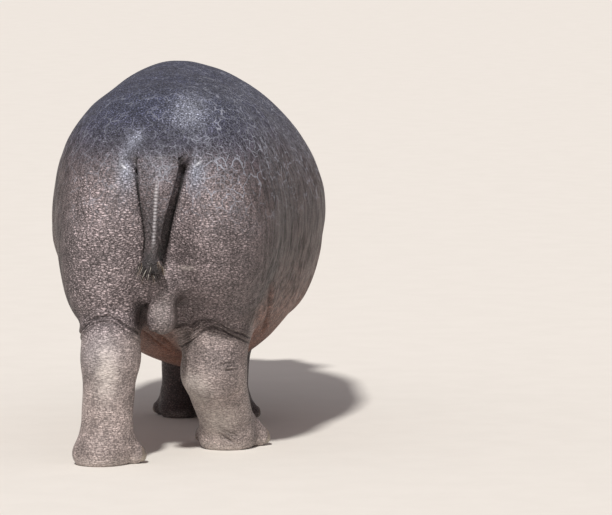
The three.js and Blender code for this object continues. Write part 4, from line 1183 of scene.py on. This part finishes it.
for piece in (tail_hair, *fringes):
    piece.data.materials.append(bristle)
    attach(piece, "root")

# ---- Floor -------------------------------------------------------------------------------------------------
# A plain, matt, pale floor, level at height 0, where the feet stand. It is far larger than the model, so that
# its edges stay out of the picture.
FLOOR_PALE, FLOOR_PALER = (0.815, 0.785, 0.735, 1), (0.835, 0.805, 0.755, 1)
mesh = bpy.data.meshes.new("floor")
mesh.from_pydata([(-120, -120, 0), (400, -120, 0), (400, 120, 0), (-120, 120, 0)], [], [(0, 1, 2, 3)])
floor = bpy.data.objects.new("floor", mesh)
bpy.context.scene.collection.objects.link(floor)
material, tree, shader, where = new_material("pale_floor", Roughness=0.95, Specular_IOR_Level=0.1)
cloud = use(tree, MOTTLE, {"Vector": where, "Scale": 5.0})["Value"]
tree.links.new(mixed(tree, cloud, FLOOR_PALE, FLOOR_PALER), shader.inputs["Base Color"])
mesh.materials.append(material)

# ---- Light -------------------------------------------------------------------------------------------------
# One strong light from high on the camera's side and a little to its left, wide enough for its shadows to
# have soft edges, and an even pale surround that fills them.
SUN_WAY, SUN_STRENGTH, SUN_WIDTH, SUN_COLOUR = (1.15, -0.08, -1.0), 3.6, 0.07, (1.0, 0.97, 0.93)
SURROUND_COLOUR, SURROUND_STRENGTH = (1.0, 0.92, 0.95, 1), 0.32
sun = bpy.data.objects.new("key_light", bpy.data.lights.new("key_light", "SUN"))
sun.data.energy, sun.data.angle, sun.data.color = SUN_STRENGTH, SUN_WIDTH, SUN_COLOUR
sun.rotation_euler = Vector(SUN_WAY).to_track_quat("-Z", "Y").to_euler()
bpy.context.scene.collection.objects.link(sun)
world = bpy.data.worlds.new("surround")
bpy.context.scene.world = world
world.use_nodes = True
background = world.node_tree.nodes["Background"]
background.inputs["Color"].default_value = SURROUND_COLOUR
background.inputs["Strength"].default_value = SURROUND_STRENGTH
bpy.context.scene.view_settings.view_transform = "Standard"

# ---- Camera ------------------------------------------------------------------------------------------------
# A long lens, low behind the animal. ANCHOR, on the floor by the hind feet, is seen at ANCHOR_PX of a WIDE
# by HIGH picture: each pass turns the camera by how far off it is.
WIDE, HIGH, ANCHOR_PX = 612, 515, (170, 459)
AWAY, YAW, TILT, PX_PER_METRE = 22.0, math.radians(6), math.radians(7), 256.0
SENSOR, FAR_CLIP = 36, 1000
ANCHOR = Vector((-1.22, 0, 0)) - Vector(MIDDLE)
focal = PX_PER_METRE * AWAY / math.cos(TILT)
camera = bpy.data.objects.new("camera", bpy.data.cameras.new("camera"))
bpy.context.scene.collection.objects.link(camera)
camera.location = ANCHOR + Vector((-math.cos(YAW) * AWAY, -math.sin(YAW) * AWAY, AWAY * math.tan(TILT)))
sight = (ANCHOR - camera.location).normalized()
heading, pitch = math.atan2(sight.y, sight.x), math.asin(sight.z)
for _ in range(20):
    level = math.cos(pitch)
    ahead = Vector((level * math.cos(heading), level * math.sin(heading), math.sin(pitch)))
    right = ahead.cross(Vector((0, 0, 1))).normalized()
    above = right.cross(ahead)
    heading += (ANCHOR_PX[0] - WIDE / 2 - focal * sight.dot(right) / sight.dot(ahead)) / focal
    pitch -= (HIGH / 2 - ANCHOR_PX[1] - focal * sight.dot(above) / sight.dot(ahead)) / focal
camera.rotation_euler = ahead.to_track_quat("-Z", "Y").to_euler()
camera.data.sensor_width, camera.data.lens, camera.data.clip_end = SENSOR, focal * SENSOR / WIDE, FAR_CLIP
bpy.context.scene.camera = camera
